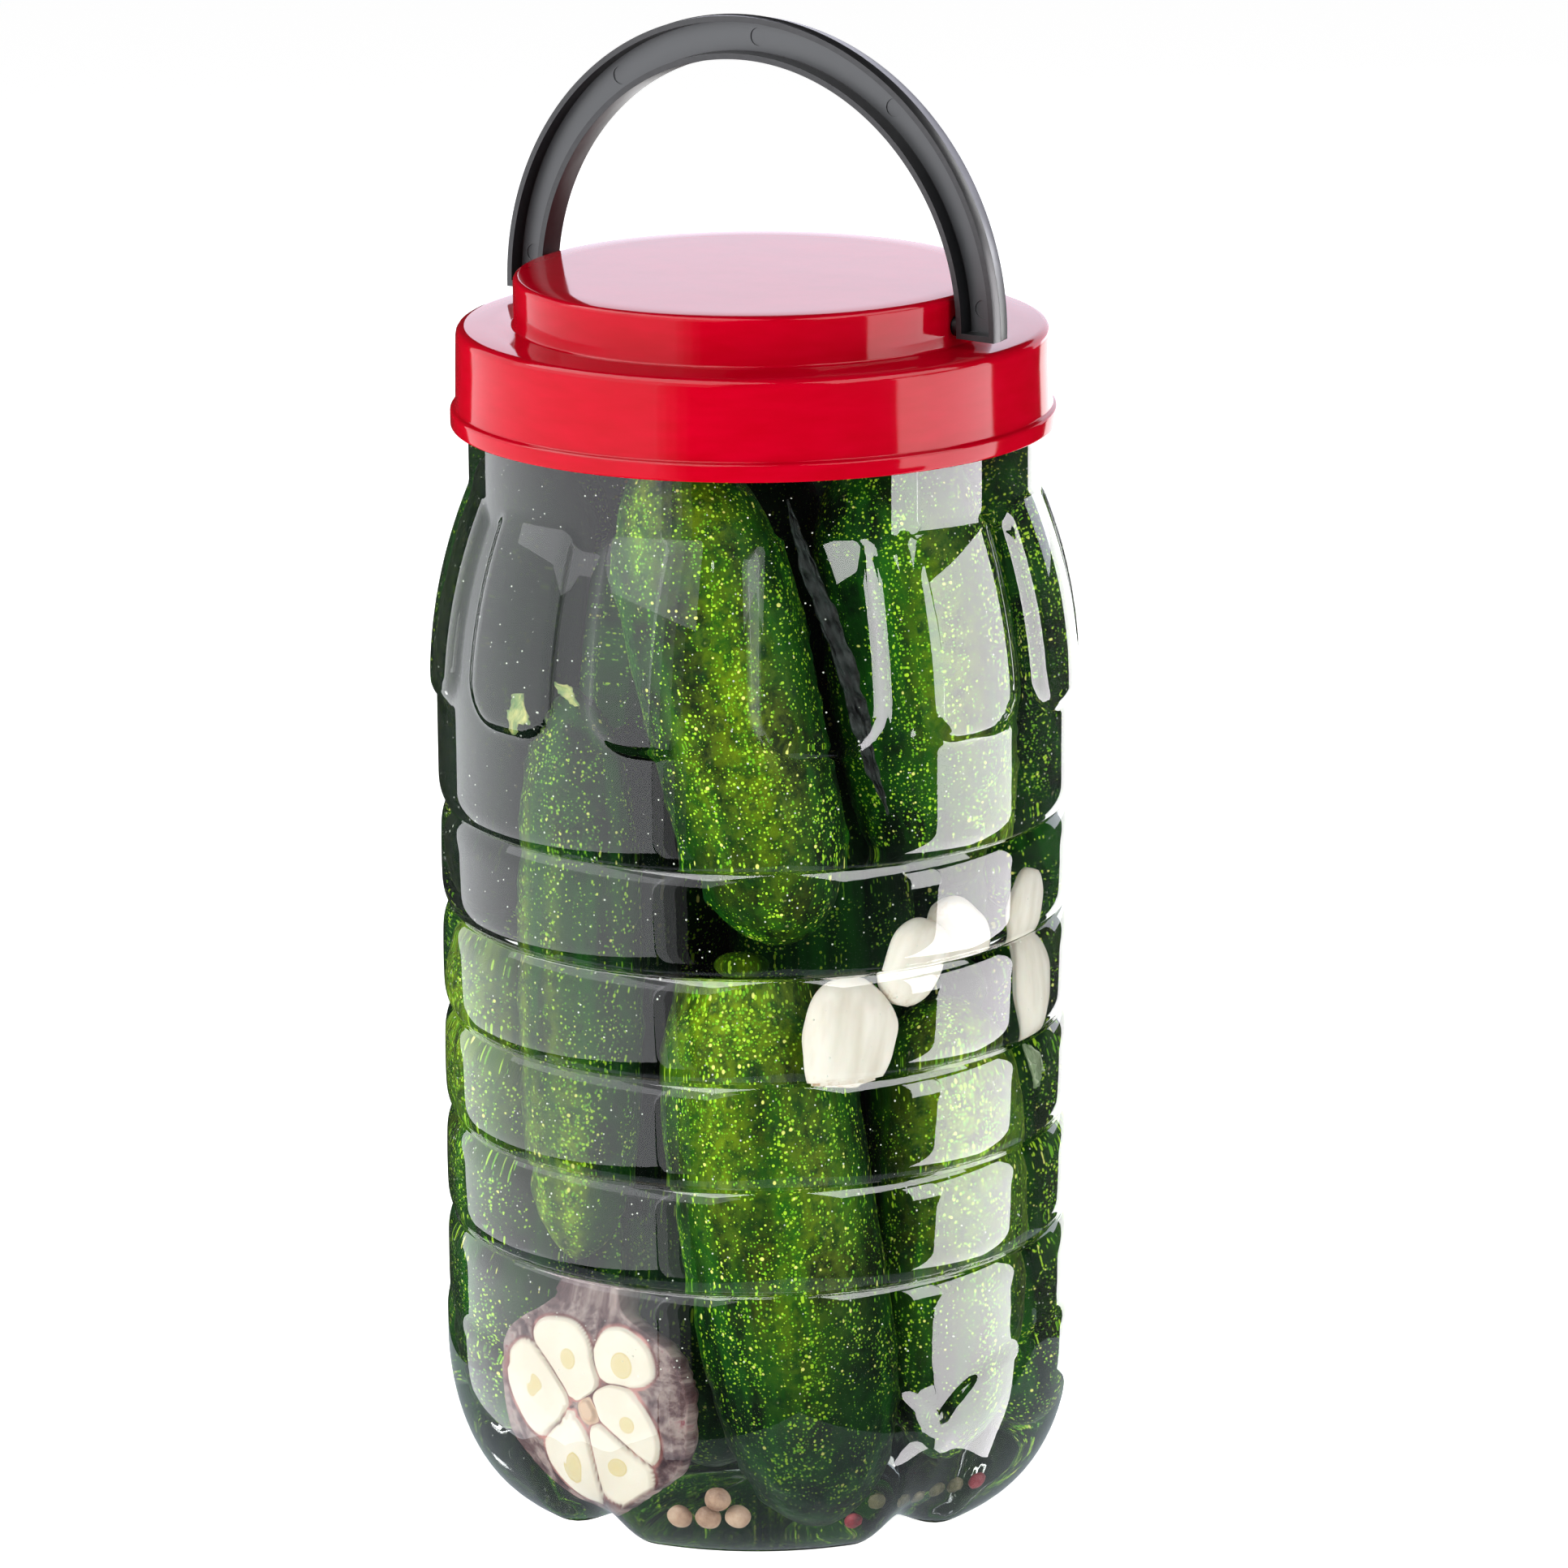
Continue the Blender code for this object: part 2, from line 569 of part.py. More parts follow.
def floor_height(radius, angle):
    """Height of the jar's floor at a distance and an angle from the near side of the contents."""
    column = 2 * math.pi / JAR_STEPS
    first = math.floor((angle + CONTENTS_TURN) / column) * column
    heights = []
    for turn in (first, first + column):
        outline = []
        for inner_radius, inner_height in inner_profile()[:7]:
            x, y, z = shape_jar_point(inner_radius * math.sin(turn), -inner_radius * math.cos(turn),
                                      inner_height)
            outline.append((math.hypot(x, y), z))
        heights.append(height_on(outline, radius))
    return max(heights)


def resting_height(ball, radius, angle):
    """Lowest height of a ball's centre at which it clears the floor all round."""
    height = 0.0
    for step in range(-6, 7):
        reach = ball * step / 6
        rise = math.sqrt(max(ball ** 2 - reach ** 2, 0.0))
        height = max(height, floor_height(radius + reach, angle) + rise)
        height = max(height, floor_height(radius, angle + reach / radius) + rise)
    return height + SPICE_GAP


def make_spices(kind, places, ball, collection, parent, material):
    for number, (degrees, radius) in enumerate(places, start=1):
        angle = math.radians(degrees)
        shape = sphere_shape(7, 5, ball * MM)
        mesh = bpy.data.meshes.new(kind)
        shape.to_mesh(mesh)
        shape.free()
        item = add_object(f"{kind}_{number}", mesh, collection, material, parent)
        height = resting_height(ball, radius, angle)
        item.location = Vector((radius * math.sin(angle), -radius * math.cos(angle), height)) * MM
        smooth_shading(item, 80.0)


def wavy_sheet(name, length, width, waves, height, steps, collection, parent, material):
    """A thin wavy sheet along its own Z, closed, both faces split alike."""
    shape = bmesh.new()
    bmesh.ops.create_grid(shape, x_segments=2, y_segments=steps, size=0.5)
    for vertex in shape.verts:
        along = vertex.co.y
        narrowing = 1 - 0.7 * (2 * along) ** 4
        ripple = height * math.sin(2 * math.pi * waves * along + 2.0 * vertex.co.x)
        vertex.co = Vector((vertex.co.x * width * narrowing, ripple, along * length)) * MM
    bmesh.ops.triangulate(shape, faces=shape.faces)
    mesh = bpy.data.meshes.new(name)
    shape.to_mesh(mesh)
    shape.free()
    item = add_object(name, mesh, collection, material, parent)
    solid = item.modifiers.new("thickness", "SOLIDIFY")
    solid.thickness = LEAF_THICKNESS * MM
    solid.offset = 0.0
    return item


def make_leaves(collection, parent, material):
    for number, (degrees, radius, height, size, tilt) in enumerate(LEAF_SCRAPS, start=1):
        angle = math.radians(degrees)
        item = wavy_sheet(f"leaf_scrap_{number}", size * 1.3, size, 1.0, SCRAP_RIPPLE, 4,
                          collection, parent, material)
        item.location = Vector((radius * math.sin(angle), -radius * math.cos(angle), height)) * MM
        item.rotation_euler = (0.0, math.radians(tilt), angle)
    top = Vector((STRIP_TOP[0], -STRIP_TOP[1], STRIP_TOP[2]))
    bottom = Vector((STRIP_BOTTOM[0], -STRIP_BOTTOM[1], STRIP_BOTTOM[2]))
    run = top - bottom
    strip = wavy_sheet("leaf_strip", run.length, STRIP_WIDTH, STRIP_WAVES, STRIP_RIPPLE, STRIP_STEPS,
                       collection, parent, material)
    strip.location = (top + bottom) / 2 * MM
    strip.rotation_euler = run.to_track_quat("Z", "Y").to_euler()
    return strip


def main():
    clear_scene()
    parts = make_collection("jar_of_cucumbers")
    cutters = make_collection("cutters")
    plastic = make_material("clear_plastic", (0.86, 0.88, 0.88), 0.06, transmission=0.9)
    red = make_material("red_plastic", (0.63, 0.0, 0.013), 0.18)
    black = make_material("black_plastic", (0.012, 0.012, 0.014), 0.32)
    green = make_material("cucumber_skin", (0.045, 0.13, 0.012), 0.38)
    ivory = make_material("garlic", (0.80, 0.74, 0.62), 0.35)
    tan = make_material("allspice", (0.42, 0.27, 0.18), 0.55)
    olive = make_material("peppercorn", (0.13, 0.12, 0.07), 0.55)
    leaf = make_material("leaf", (0.20, 0.24, 0.09), 0.5)

    make_jar(parts, plastic)
    make_lid(parts, cutters, red)
    make_handle(parts, cutters, black)

    contents = bpy.data.objects.new("contents", None)
    parts.objects.link(contents)
    contents.rotation_euler = (0.0, 0.0, CONTENTS_TURN)
    make_cucumbers(parts, contents, green)
    make_bulb(parts, contents, ivory)
    make_cloves(parts, contents, ivory)
    make_spices("allspice", ALLSPICE, ALLSPICE_RADIUS, parts, contents, tan)
    make_spices("peppercorn", PEPPERCORNS, PEPPERCORN_RADIUS, parts, contents, olive)
    make_leaves(parts, contents, leaf)
    bpy.context.view_layer.update()


main()
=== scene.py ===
import math

import bmesh
import bpy
import numpy as np
from mathutils import Matrix, Vector


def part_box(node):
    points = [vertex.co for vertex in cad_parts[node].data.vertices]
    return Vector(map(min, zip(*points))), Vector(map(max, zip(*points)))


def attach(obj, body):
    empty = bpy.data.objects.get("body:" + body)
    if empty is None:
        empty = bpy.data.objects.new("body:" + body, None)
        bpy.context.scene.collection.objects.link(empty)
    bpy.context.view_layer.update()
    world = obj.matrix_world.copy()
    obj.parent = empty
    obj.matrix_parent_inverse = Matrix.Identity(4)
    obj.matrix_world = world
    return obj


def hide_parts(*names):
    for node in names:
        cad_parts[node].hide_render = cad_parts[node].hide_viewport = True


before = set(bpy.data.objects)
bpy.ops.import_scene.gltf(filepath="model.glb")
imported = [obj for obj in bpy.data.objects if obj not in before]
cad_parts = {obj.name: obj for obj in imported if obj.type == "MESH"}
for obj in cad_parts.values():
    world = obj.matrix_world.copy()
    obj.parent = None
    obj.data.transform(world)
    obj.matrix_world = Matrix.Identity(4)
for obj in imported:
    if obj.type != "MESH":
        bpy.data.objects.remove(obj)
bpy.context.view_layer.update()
MM = 0.001  # the sizes below are in millimetres

# The jar
# One blown piece of clear plastic. Its wall, about a millimetre thick, is drawn out into five
# grooves round the body, twelve raised pads round the shoulder and five feet.
WALL = 1.0
BASE_RADIUS, BASE_INNER_RADIUS, BASE_RISE = 50.0, 43.5, 8.5
CORNER_HEIGHT, FOOT_RADIUS, FOOT_TOP, FOOT_STEP = 34.0, 68.1, 39.5, 5.0
BAND_RADIUS, RIB_RADIUS = 67.5, 67.6
GROOVES = [61.9 + 22.84 * number for number in range(5)]
GROOVE_DEPTH, GROOVE_REACH, GROOVE_POWER, RIB_BULGE = 1.7, 6.5, 2.8, 0.35
SHOULDER_START, SHOULDER_RADIUS, SHOULDER_POWER = 176.0, 67.9, 2.1
NECK_START, NECK_RADIUS, NECK_TOP = 218.0, 60.3, 253.1
PAD_COUNT, PAD_HEIGHT, PAD_HALF_WIDTH, PAD_CORNER, PAD_EDGE = 12, 1.5, 14.9, 11.0, 3.3
PAD_BOTTOM = 176.8
FOOT_COUNT, FOOT_TURN, FOOT_VALLEY_HALF = 5, math.radians(32.0), math.radians(13.0)
FOOT_VALLEY_DEPTH, FOOT_ARCH_DROP, FOOT_ARCH_FOOT = 3.5, 12.0, 6.0
GROOVE_ROWS, ROWS_TO_MIDDLE = 23, 1.5
JAR_COLUMNS = 264


def smooth_step(value):
    value = np.clip(value, 0.0, 1.0)
    return value * value * (3 - 2 * value)


def full_turn(columns):
    return np.arange(columns) * 2 * math.pi / columns


def off_nearest(angle, count, first):
    """Angle from the nearest of count even places, the first at first."""
    pitch = 2 * math.pi / count
    return (angle - first + pitch / 2) % pitch - pitch / 2


def shoulder_radius(z):
    rise = np.clip((z - SHOULDER_START) / (NECK_START - SHOULDER_START), 0.0, None)
    return SHOULDER_RADIUS - (SHOULDER_RADIUS - NECK_RADIUS) * rise ** SHOULDER_POWER


def pad_relief(angle, z):
    """Raised pads: U shapes with rounded lower corners and sloping edges."""
    across = np.abs(off_nearest(angle, PAD_COUNT, math.pi / PAD_COUNT)) * SHOULDER_RADIUS
    beside = np.clip(across - (PAD_HALF_WIDTH - PAD_CORNER), 0.0, None)
    below = np.clip(PAD_CORNER - (z - PAD_BOTTOM), 0.0, None)
    return PAD_HEIGHT * smooth_step((PAD_CORNER - np.hypot(beside, below)) / PAD_EDGE)


def body_radius(angle, z):
    """Outside of the jar above its feet."""
    z = z + 0.0 * angle
    pitch = GROOVES[1] - GROOVES[0]
    radius = np.where(z > GROOVES[-1], SHOULDER_RADIUS, RIB_RADIUS)
    for groove in GROOVES:
        near = np.clip(1 - np.abs(z - groove) / GROOVE_REACH, 0.0, 1.0)
        radius = radius - GROOVE_DEPTH * near ** GROOVE_POWER
        middle = groove + pitch / 2
        share = np.abs(z - middle) / pitch * 2
        if groove != GROOVES[-1]:
            radius = radius - RIB_BULGE * np.where(share < 1, share ** 2, 0.0)
    slope = shoulder_radius(z) + pad_relief(angle, z)
    radius = np.where(z > SHOULDER_START, slope, radius)
    return np.where(z > NECK_START - 2, np.maximum(radius, NECK_RADIUS), radius)


def foot_shape(angle, radius, z):
    """Shapes the turned foot of the jar: valleys between feet, an arched step above them."""
    half_pitch = math.pi / FOOT_COUNT
    top = FOOT_TOP + FOOT_STEP
    off_valley = np.abs(off_nearest(angle, FOOT_COUNT, FOOT_TURN + half_pitch))
    valley = np.cos(0.5 * math.pi * np.clip(off_valley / FOOT_VALLEY_HALF, 0.0, 1.0)) ** 2
    off_foot = np.abs(off_nearest(angle, FOOT_COUNT, FOOT_TURN)) / half_pitch
    fade = np.clip((top + 14 - z) / 14, 0.0, 1.0)
    lift = np.clip((z - FOOT_ARCH_FOOT) / (top - FOOT_ARCH_FOOT), 0.0, 1.0) * fade
    low = 1 - np.clip(z / CORNER_HEIGHT, 0.0, 1.0)
    outward = np.clip(radius / BASE_INNER_RADIUS, 0.0, 1.0) ** 2
    shaped = radius - FOOT_VALLEY_DEPTH * valley * (0.2 * fade + 0.8 * low) * outward
    return shaped, z - FOOT_ARCH_DROP * off_foot ** 4 * lift + FOOT_VALLEY_DEPTH * valley * low * outward


def corner_points(wall, count):
    """Rounded corner from the side wall down to the ring that the jar stands on."""
    turns = np.linspace(math.pi / 2, 0.0, count)
    radii = BASE_RADIUS + (FOOT_RADIUS - wall - BASE_RADIUS) * np.sin(turns)
    return radii, wall + (CORNER_HEIGHT - wall) * (1 - np.cos(turns))


def jar_rows(angle, wall, step):
    """Rows of (radius, height) at every angle, from the rim down to the middle of the base."""
    across = np.linspace(1.0, -1.0, GROOVE_ROWS)[::int(step)]
    heights = list(np.arange(NECK_TOP, NECK_START + 9, -7.0))
    heights += list(np.arange(NECK_START + 7, SHOULDER_START - 2, -0.9 * step))
    heights += list(np.linspace(SHOULDER_START - 4, GROOVES[-1] + GROOVE_REACH + 1, 4))
    for groove in reversed(GROOVES):
        heights += list(groove + GROOVE_REACH * np.sign(across) * np.abs(across) ** ROWS_TO_MIDDLE)
        heights += list(np.linspace(groove - GROOVE_REACH - 2.4, groove - GROOVE_REACH - 8.0, 3))
    rows = []
    for z in heights:
        radius = body_radius(angle, z) - wall
        if z < FOOT_TOP + FOOT_STEP + 14:
            rows.append(foot_shape(angle, radius, z))
        else:
            rows.append((radius, np.full_like(angle, z)))
    for share in np.linspace(0.0, 1.0, 7):
        radius = BAND_RADIUS + (FOOT_RADIUS - BAND_RADIUS) * smooth_step(share) - wall
        rows.append(foot_shape(angle, np.full_like(angle, radius), FOOT_TOP + FOOT_STEP * (1 - share)))
    for radius, z in zip(*corner_points(wall, int(22 / step))):
        rows.append(foot_shape(angle, np.full_like(angle, radius), z))
    for share in np.linspace(0.0, 1.0, 12)[:-1]:
        radius = BASE_INNER_RADIUS * (1 - share)
        z = wall + BASE_RISE * (1 - (1 - share) ** 1.6)
        rows.append(foot_shape(angle, np.full_like(angle, radius), z))
    return rows


def linked(name, data):
    """A new object of a mesh, a light or a camera, in the scene."""
    item = bpy.data.objects.new(name, data)
    bpy.context.scene.collection.objects.link(item)
    return item


def listed_piece(name, points, faces):
    """A smooth piece of a list of points in metres and a list of faces."""
    mesh = bpy.data.meshes.new(name)
    mesh.from_pydata([tuple(point) for point in points], [], faces)
    mesh.shade_smooth()
    return linked(name, mesh)


def shaped_piece(name, shape, smooth=True):
    """A piece of a bmesh, which is then freed."""
    mesh = bpy.data.meshes.new(name)
    shape.to_mesh(mesh)
    shape.free()
    if smooth:
        mesh.shade_smooth()
    return linked(name, mesh)


def ring_faces(row_count, columns, upwards=False):
    """Faces between rings of points that follow each other, from the top down or upwards."""
    faces = []
    for row in range(row_count - 1):
        for column in range(columns):
            here, beside = row * columns + column, row * columns + (column + 1) % columns
            if upwards:
                faces.append((here, beside, beside + columns, here + columns))
            else:
                faces.append((here, here + columns, beside + columns, beside))
    return faces


def pole_faces(row, columns, pole, flip):
    """Triangles that shut a ring of points with a single one."""
    faces = []
    for column in range(columns):
        corners = (row * columns + column, row * columns + (column + 1) % columns, pole)
        faces.append(corners[::-1] if flip else corners)
    return faces


def turned_piece(name, angle, rows, first_pole, last_pole):
    """A piece of rings of (radius, height) in millimetres, shut by a pole at each end."""
    columns = len(angle)
    rings = [np.stack([radius * np.sin(angle), -radius * np.cos(angle), z + 0 * angle], axis=1)
             for radius, z in rows]
    points = [point for ring in rings for point in ring * MM]
    faces = ring_faces(len(rows), columns)
    for pole, row, flip in ((first_pole, 0, False), (last_pole, len(rows) - 1, True)):
        points.append((0.0, 0.0, pole * MM))
        faces += pole_faces(row, columns, len(points) - 1, flip)
    piece = listed_piece(name, points, faces)
    piece.data.validate()
    return piece


def new_finish(name, **constants):
    """A material with its Principled shader; the keywords are the shader's constant sockets."""
    material = bpy.data.materials.new(name)
    material.use_nodes = True
    shader = material.node_tree.nodes["Principled BSDF"]
    for socket, value in constants.items():
        shader.inputs[socket.replace("_", " ")].default_value = value
    return material, material.node_tree, shader


def feed(tree, socket, value):
    """Gives an input a link, a number, a vector or a colour of three numbers."""
    if isinstance(value, bpy.types.NodeSocket):
        tree.links.new(value, socket)
    elif value is not None:
        socket.default_value = (*value, 1.0) if socket.type == "RGBA" else value


def add_node(tree, kind, inputs=None, **settings):
    """A node with its settings, and with its inputs fed by name or by number."""
    node = tree.nodes.new(kind)
    for name, value in settings.items():
        setattr(node, name, value)
    for key, value in (inputs or {}).items():
        feed(tree, node.inputs[key], value)
    return node


def math_of(tree, operation, *values):
    return add_node(tree, "ShaderNodeMath", dict(enumerate(values)), operation=operation).outputs[0]


def range_of(tree, value, low, high):
    """Runs from 0 at low to 1 at high."""
    return add_node(tree, "ShaderNodeMapRange",
                    {"Value": value, "From Min": low, "From Max": high}).outputs[0]


def place_of(tree):
    return add_node(tree, "ShaderNodeTexCoord").outputs["Object"]


def stretched(tree, place, scale):
    return add_node(tree, "ShaderNodeMapping", {"Vector": place, "Scale": scale}).outputs["Vector"]


def noise_of(tree, vector, scale, detail=2.0, roughness=0.5):
    return add_node(tree, "ShaderNodeTexNoise", {"Vector": vector, "Scale": scale, "Detail": detail,
                                                 "Roughness": roughness}).outputs["Fac"]


def ramp_of(tree, value, stops):
    ramp = add_node(tree, "ShaderNodeValToRGB")
    marks = ramp.color_ramp.elements
    while len(marks) < len(stops):
        marks.new(0.5)
    for mark, (place, shade) in zip(marks, stops):
        mark.position = place
        mark.color = (*shade, 1.0) if isinstance(shade, tuple) else (shade, shade, shade, 1.0)
    tree.links.new(value, ramp.inputs["Fac"])
    return ramp.outputs["Color"]


def mix_of(tree, share, first, second, blend="MIX"):
    """Colour mix; share, first and second are sockets, numbers or colours."""
    return add_node(tree, "ShaderNodeMix", {0: share, 6: first, 7: second},
                    data_type="RGBA", blend_type=blend).outputs[2]


def bump_of(tree, height, depth, shader, strength=1.0):
    bump = add_node(tree, "ShaderNodeBump", {"Distance": depth, "Strength": strength, "Height": height})
    feed(tree, shader.inputs["Normal"], bump.outputs["Normal"])


def moulded_group():
    """Group for moulded plastic: slow waves in the surface and a slightly uneven gloss."""
    group = bpy.data.node_groups.new("moulded_surface", "ShaderNodeTree")
    for name, value in (("Wave Scale", 30.0), ("Gloss Scale", 80.0), ("Low", 0.05), ("High", 0.1)):
        socket = group.interface.new_socket(name, in_out="INPUT", socket_type="NodeSocketFloat")
        socket.default_value = value
    for name in ("Roughness", "Height"):
        group.interface.new_socket(name, in_out="OUTPUT", socket_type="NodeSocketFloat")
    given = add_node(group, "NodeGroupInput").outputs
    place = place_of(group)
    gloss = noise_of(group, place, given["Gloss Scale"], 3.0)
    spread = add_node(group, "ShaderNodeMapRange",
                      {"Value": gloss, "To Min": given["Low"], "To Max": given["High"]})
    waves = noise_of(group, place, given["Wave Scale"], 1.0)
    add_node(group, "NodeGroupOutput", {"Roughness": spread.outputs["Result"], "Height": waves})
    return group


MOULDED = moulded_group()


def mould(tree, shader, wave_scale, depth, low, high):
    """Places the moulded surface group in a material with its own values."""
    node = add_node(tree, "ShaderNodeGroup", {"Wave Scale": wave_scale, "Low": low, "High": high},
                    node_tree=MOULDED)
    feed(tree, shader.inputs["Roughness"], node.outputs["Roughness"])
    bump_of(tree, node.outputs["Height"], depth, shader)


jar_angle = full_turn(JAR_COLUMNS)
outside = jar_rows(jar_angle, 0.0, 1.0)
inside = jar_rows(jar_angle, WALL, 2.0)
jar = turned_piece("jar_wall", jar_angle, inside[::-1] + outside, BASE_RISE + WALL, BASE_RISE)
# The side that the brine wets mirrors next to nothing, so it has its own finish with no gloss
NO_GLOSS = (0.0, 0.0, 0.0, 1.0)
for name, low, high, depth, dull, constants in (
        ("clear_plastic", (0.955, 0.97, 0.965), (0.985, 0.99, 0.99), 0.00006, 0.02, {}),
        ("clear_plastic_wet_side", (0.97, 0.98, 0.975), (0.99, 0.995, 0.99), 0.00003, 0.01,
         {"Specular_Tint": NO_GLOSS})):
    clear, tree, shader = new_finish(name, IOR=1.5, Transmission_Weight=1.0, **constants)
    tint = ramp_of(tree, noise_of(tree, None, 6.0), ((0.3, low), (0.7, high)))
    feed(tree, shader.inputs["Base Color"], tint)
    mould(tree, shader, 55.0, depth, 0.0, dull)
    jar.data.materials.append(clear)
inside_points = len(inside) * JAR_COLUMNS
jar.data.polygons.foreach_set("material_index", [int(min(face.vertices) < inside_points)
                                                 for face in jar.data.polygons])
jar.visible_shadow = False
jar.visible_diffuse = False
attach(jar, "jar")
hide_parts("jar")

# The brine
# Water, salt and vinegar, a little cloudy, filling the jar up into the neck. It reaches just
# into the wall, so that no air shows between the two.
BRINE_TOP, BRINE_INTO_WALL, BRINE_COLUMNS = 244.0, 0.3, 120
brine_angle = full_turn(BRINE_COLUMNS)
brine_rows = [(radius, z) for radius, z in jar_rows(brine_angle, WALL - BRINE_INTO_WALL, 2.0)
              if np.min(z) < BRINE_TOP - 1]
brine_rows.insert(0, (brine_rows[0][0], np.full_like(brine_angle, BRINE_TOP)))
brine = turned_piece("brine", brine_angle, brine_rows, BRINE_TOP, BASE_RISE + WALL - BRINE_INTO_WALL)
salted, tree, shader = new_finish("brine", IOR=1.335, Roughness=0.0, Transmission_Weight=1.0,
                                  Specular_Tint=NO_GLOSS)
cloud = noise_of(tree, None, 9.0, 3.0)
feed(tree, shader.inputs["Base Color"],
     ramp_of(tree, cloud, ((0.3, (0.90, 0.93, 0.91)), (0.7, (0.95, 0.965, 0.955)))))
brine.data.materials.append(salted)
brine.visible_shadow = False
brine.visible_diffuse = False
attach(brine, "jar")

# The lid
# A screw lid moulded in glossy red plastic: a skirt with a bead round its foot and a raised
# disc in the middle, in whose wall the handle turns.
LID_BOTTOM, LID_BEAD_RADIUS, LID_BEAD_HEIGHT = 234.4, 64.0, 3.2
LID_SKIRT_RADIUS, LID_SKIRT_TOP = 62.8, 255.4
LID_DISC_RADIUS, LID_TOP, LID_WALL, LID_PLATE = 50.4, 265.8, 1.8, 2.0
LID_MIDDLE_RING, LID_COLUMNS = 12.0, 200
PIVOT_HEIGHT, PIN_RADIUS, PIN_CLEARANCE = 259.6, 1.9, 0.3


def rounded(points, steps=5):
    """Rounds the corners of an outline of (radius, height, corner radius)."""
    outline = []
    for index, (x, y, corner) in enumerate(points):
        if corner == 0 or index in (0, len(points) - 1):
            outline.append((x, y))
            continue
        here = np.array((x, y))
        before = np.array(points[index - 1][:2]) - here
        after = np.array(points[index + 1][:2]) - here
        start = here + before / np.linalg.norm(before) * corner
        end = here + after / np.linalg.norm(after) * corner
        for share in np.linspace(0.0, 1.0, steps):
            bend = start * (1 - share) ** 2 + here * 2 * share * (1 - share) + end * share ** 2
            outline.append(tuple(bend))
    return outline


inner_skirt = LID_SKIRT_RADIUS - LID_WALL
inner_disc = LID_DISC_RADIUS - LID_WALL
bead_top = LID_BOTTOM + LID_BEAD_HEIGHT
lid_outline = rounded([
    (LID_MIDDLE_RING, LID_TOP, 0), (LID_DISC_RADIUS - 6.0, LID_TOP, 0), (LID_DISC_RADIUS, LID_TOP, 1.3),
    (LID_DISC_RADIUS, LID_SKIRT_TOP + 2.2, 0), (LID_DISC_RADIUS + 0.05, LID_SKIRT_TOP, 0.55),
    (LID_DISC_RADIUS + 5.0, LID_SKIRT_TOP, 0), (LID_SKIRT_RADIUS - 0.25, LID_SKIRT_TOP, 2.0),
    (LID_SKIRT_RADIUS - 0.1, LID_SKIRT_TOP - 6.0, 0), (LID_SKIRT_RADIUS + 0.1, bead_top + 0.8, 0.3),
    (LID_BEAD_RADIUS, bead_top + 0.5, 0.6), (LID_BEAD_RADIUS, LID_BOTTOM, 0.5),
    (inner_skirt, LID_BOTTOM, 0.3), (inner_skirt, LID_SKIRT_TOP - LID_PLATE, 0.5),
    (inner_disc, LID_SKIRT_TOP - LID_PLATE, 0.3), (inner_disc, LID_TOP - LID_PLATE, 0.5),
    (LID_MIDDLE_RING, LID_TOP - LID_PLATE, 0),
])
lid_angle = full_turn(LID_COLUMNS)
lid = turned_piece("screw_lid", lid_angle, [(radius + 0 * lid_angle, z) for radius, z in lid_outline],
                   LID_TOP, LID_TOP - LID_PLATE)


def rod_along_x(name, start, end, height, radius, segments=32):
    shape = bmesh.new()
    bmesh.ops.create_cone(shape, cap_ends=True, segments=segments, radius1=radius * MM,
                          radius2=radius * MM, depth=abs(end - start) * MM)
    bmesh.ops.transform(shape, matrix=Matrix.Rotation(math.pi / 2, 4, "Y"), verts=shape.verts)
    rod = shaped_piece(name, shape, smooth=False)
    rod.location = ((start + end) / 2 * MM, 0.0, height * MM)
    return rod


def cut_or_join(piece, others, operation):
    """Applies one Boolean for each of the other objects, then removes them."""
    for other in others:
        modifier = piece.modifiers.new("cut", "BOOLEAN")
        modifier.operation = operation
        modifier.solver = "EXACT"
        modifier.object = other
    bpy.context.view_layer.update()
    mesh = bpy.data.meshes.new_from_object(piece.evaluated_get(bpy.context.evaluated_depsgraph_get()))
    piece.modifiers.clear()
    piece.data = mesh
    for other in others:
        bpy.data.objects.remove(other, do_unlink=True)


holes = [rod_along_x("pin_hole", side * (inner_disc - 1), side * (LID_DISC_RADIUS + 1), PIVOT_HEIGHT,
                     PIN_RADIUS + PIN_CLEARANCE) for side in (1, -1)]
cut_or_join(lid, holes, "DIFFERENCE")
lid.data.shade_smooth()
lid.data.set_sharp_from_angle(angle=math.radians(40))
red, tree, shader = new_finish("red_plastic", IOR=1.5, Specular_IOR_Level=0.12)
flow = noise_of(tree, None, 14.0, 3.0)
feed(tree, shader.inputs["Base Color"],
     ramp_of(tree, flow, ((0.3, (0.42, 0.0, 0.008)), (0.7, (0.47, 0.0, 0.012)))))
mould(tree, shader, 40.0, 0.00004, 0.05, 0.11)
lid.data.materials.append(red)
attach(lid, "jar")
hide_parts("lid")

# The handle
# A black moulded channel bent to an arch, open on one side, with a thin flange on both edges,
# a shut end on each leg, round marks of the mould's pins and two pins that turn in the lid.
HANDLE_CENTRE, HANDLE_OUTER, HANDLE_INNER, HANDLE_WIDTH = 258.6, 61.6, 52.3, 6.4
HANDLE_END, HANDLE_FLANGE, HANDLE_RECESS, PIN_LENGTH = 257.4, 1.3, 3.5, 3.0
HANDLE_STEPS, HANDLE_PARTING = 110, -0.6
HANDLE_MIDDLE = (HANDLE_INNER + HANDLE_OUTER) / 2
MOULD_MARKS = (5.0, 52.0, 88.5, 126.0, 174.0)
MARK_RADIUS, MARK_DEPTH, HANDLE_EDGE = 1.9, 0.25, 0.22
CHANNEL_DEEP, CHANNEL_SHALLOW = -0.0016, 0.0001


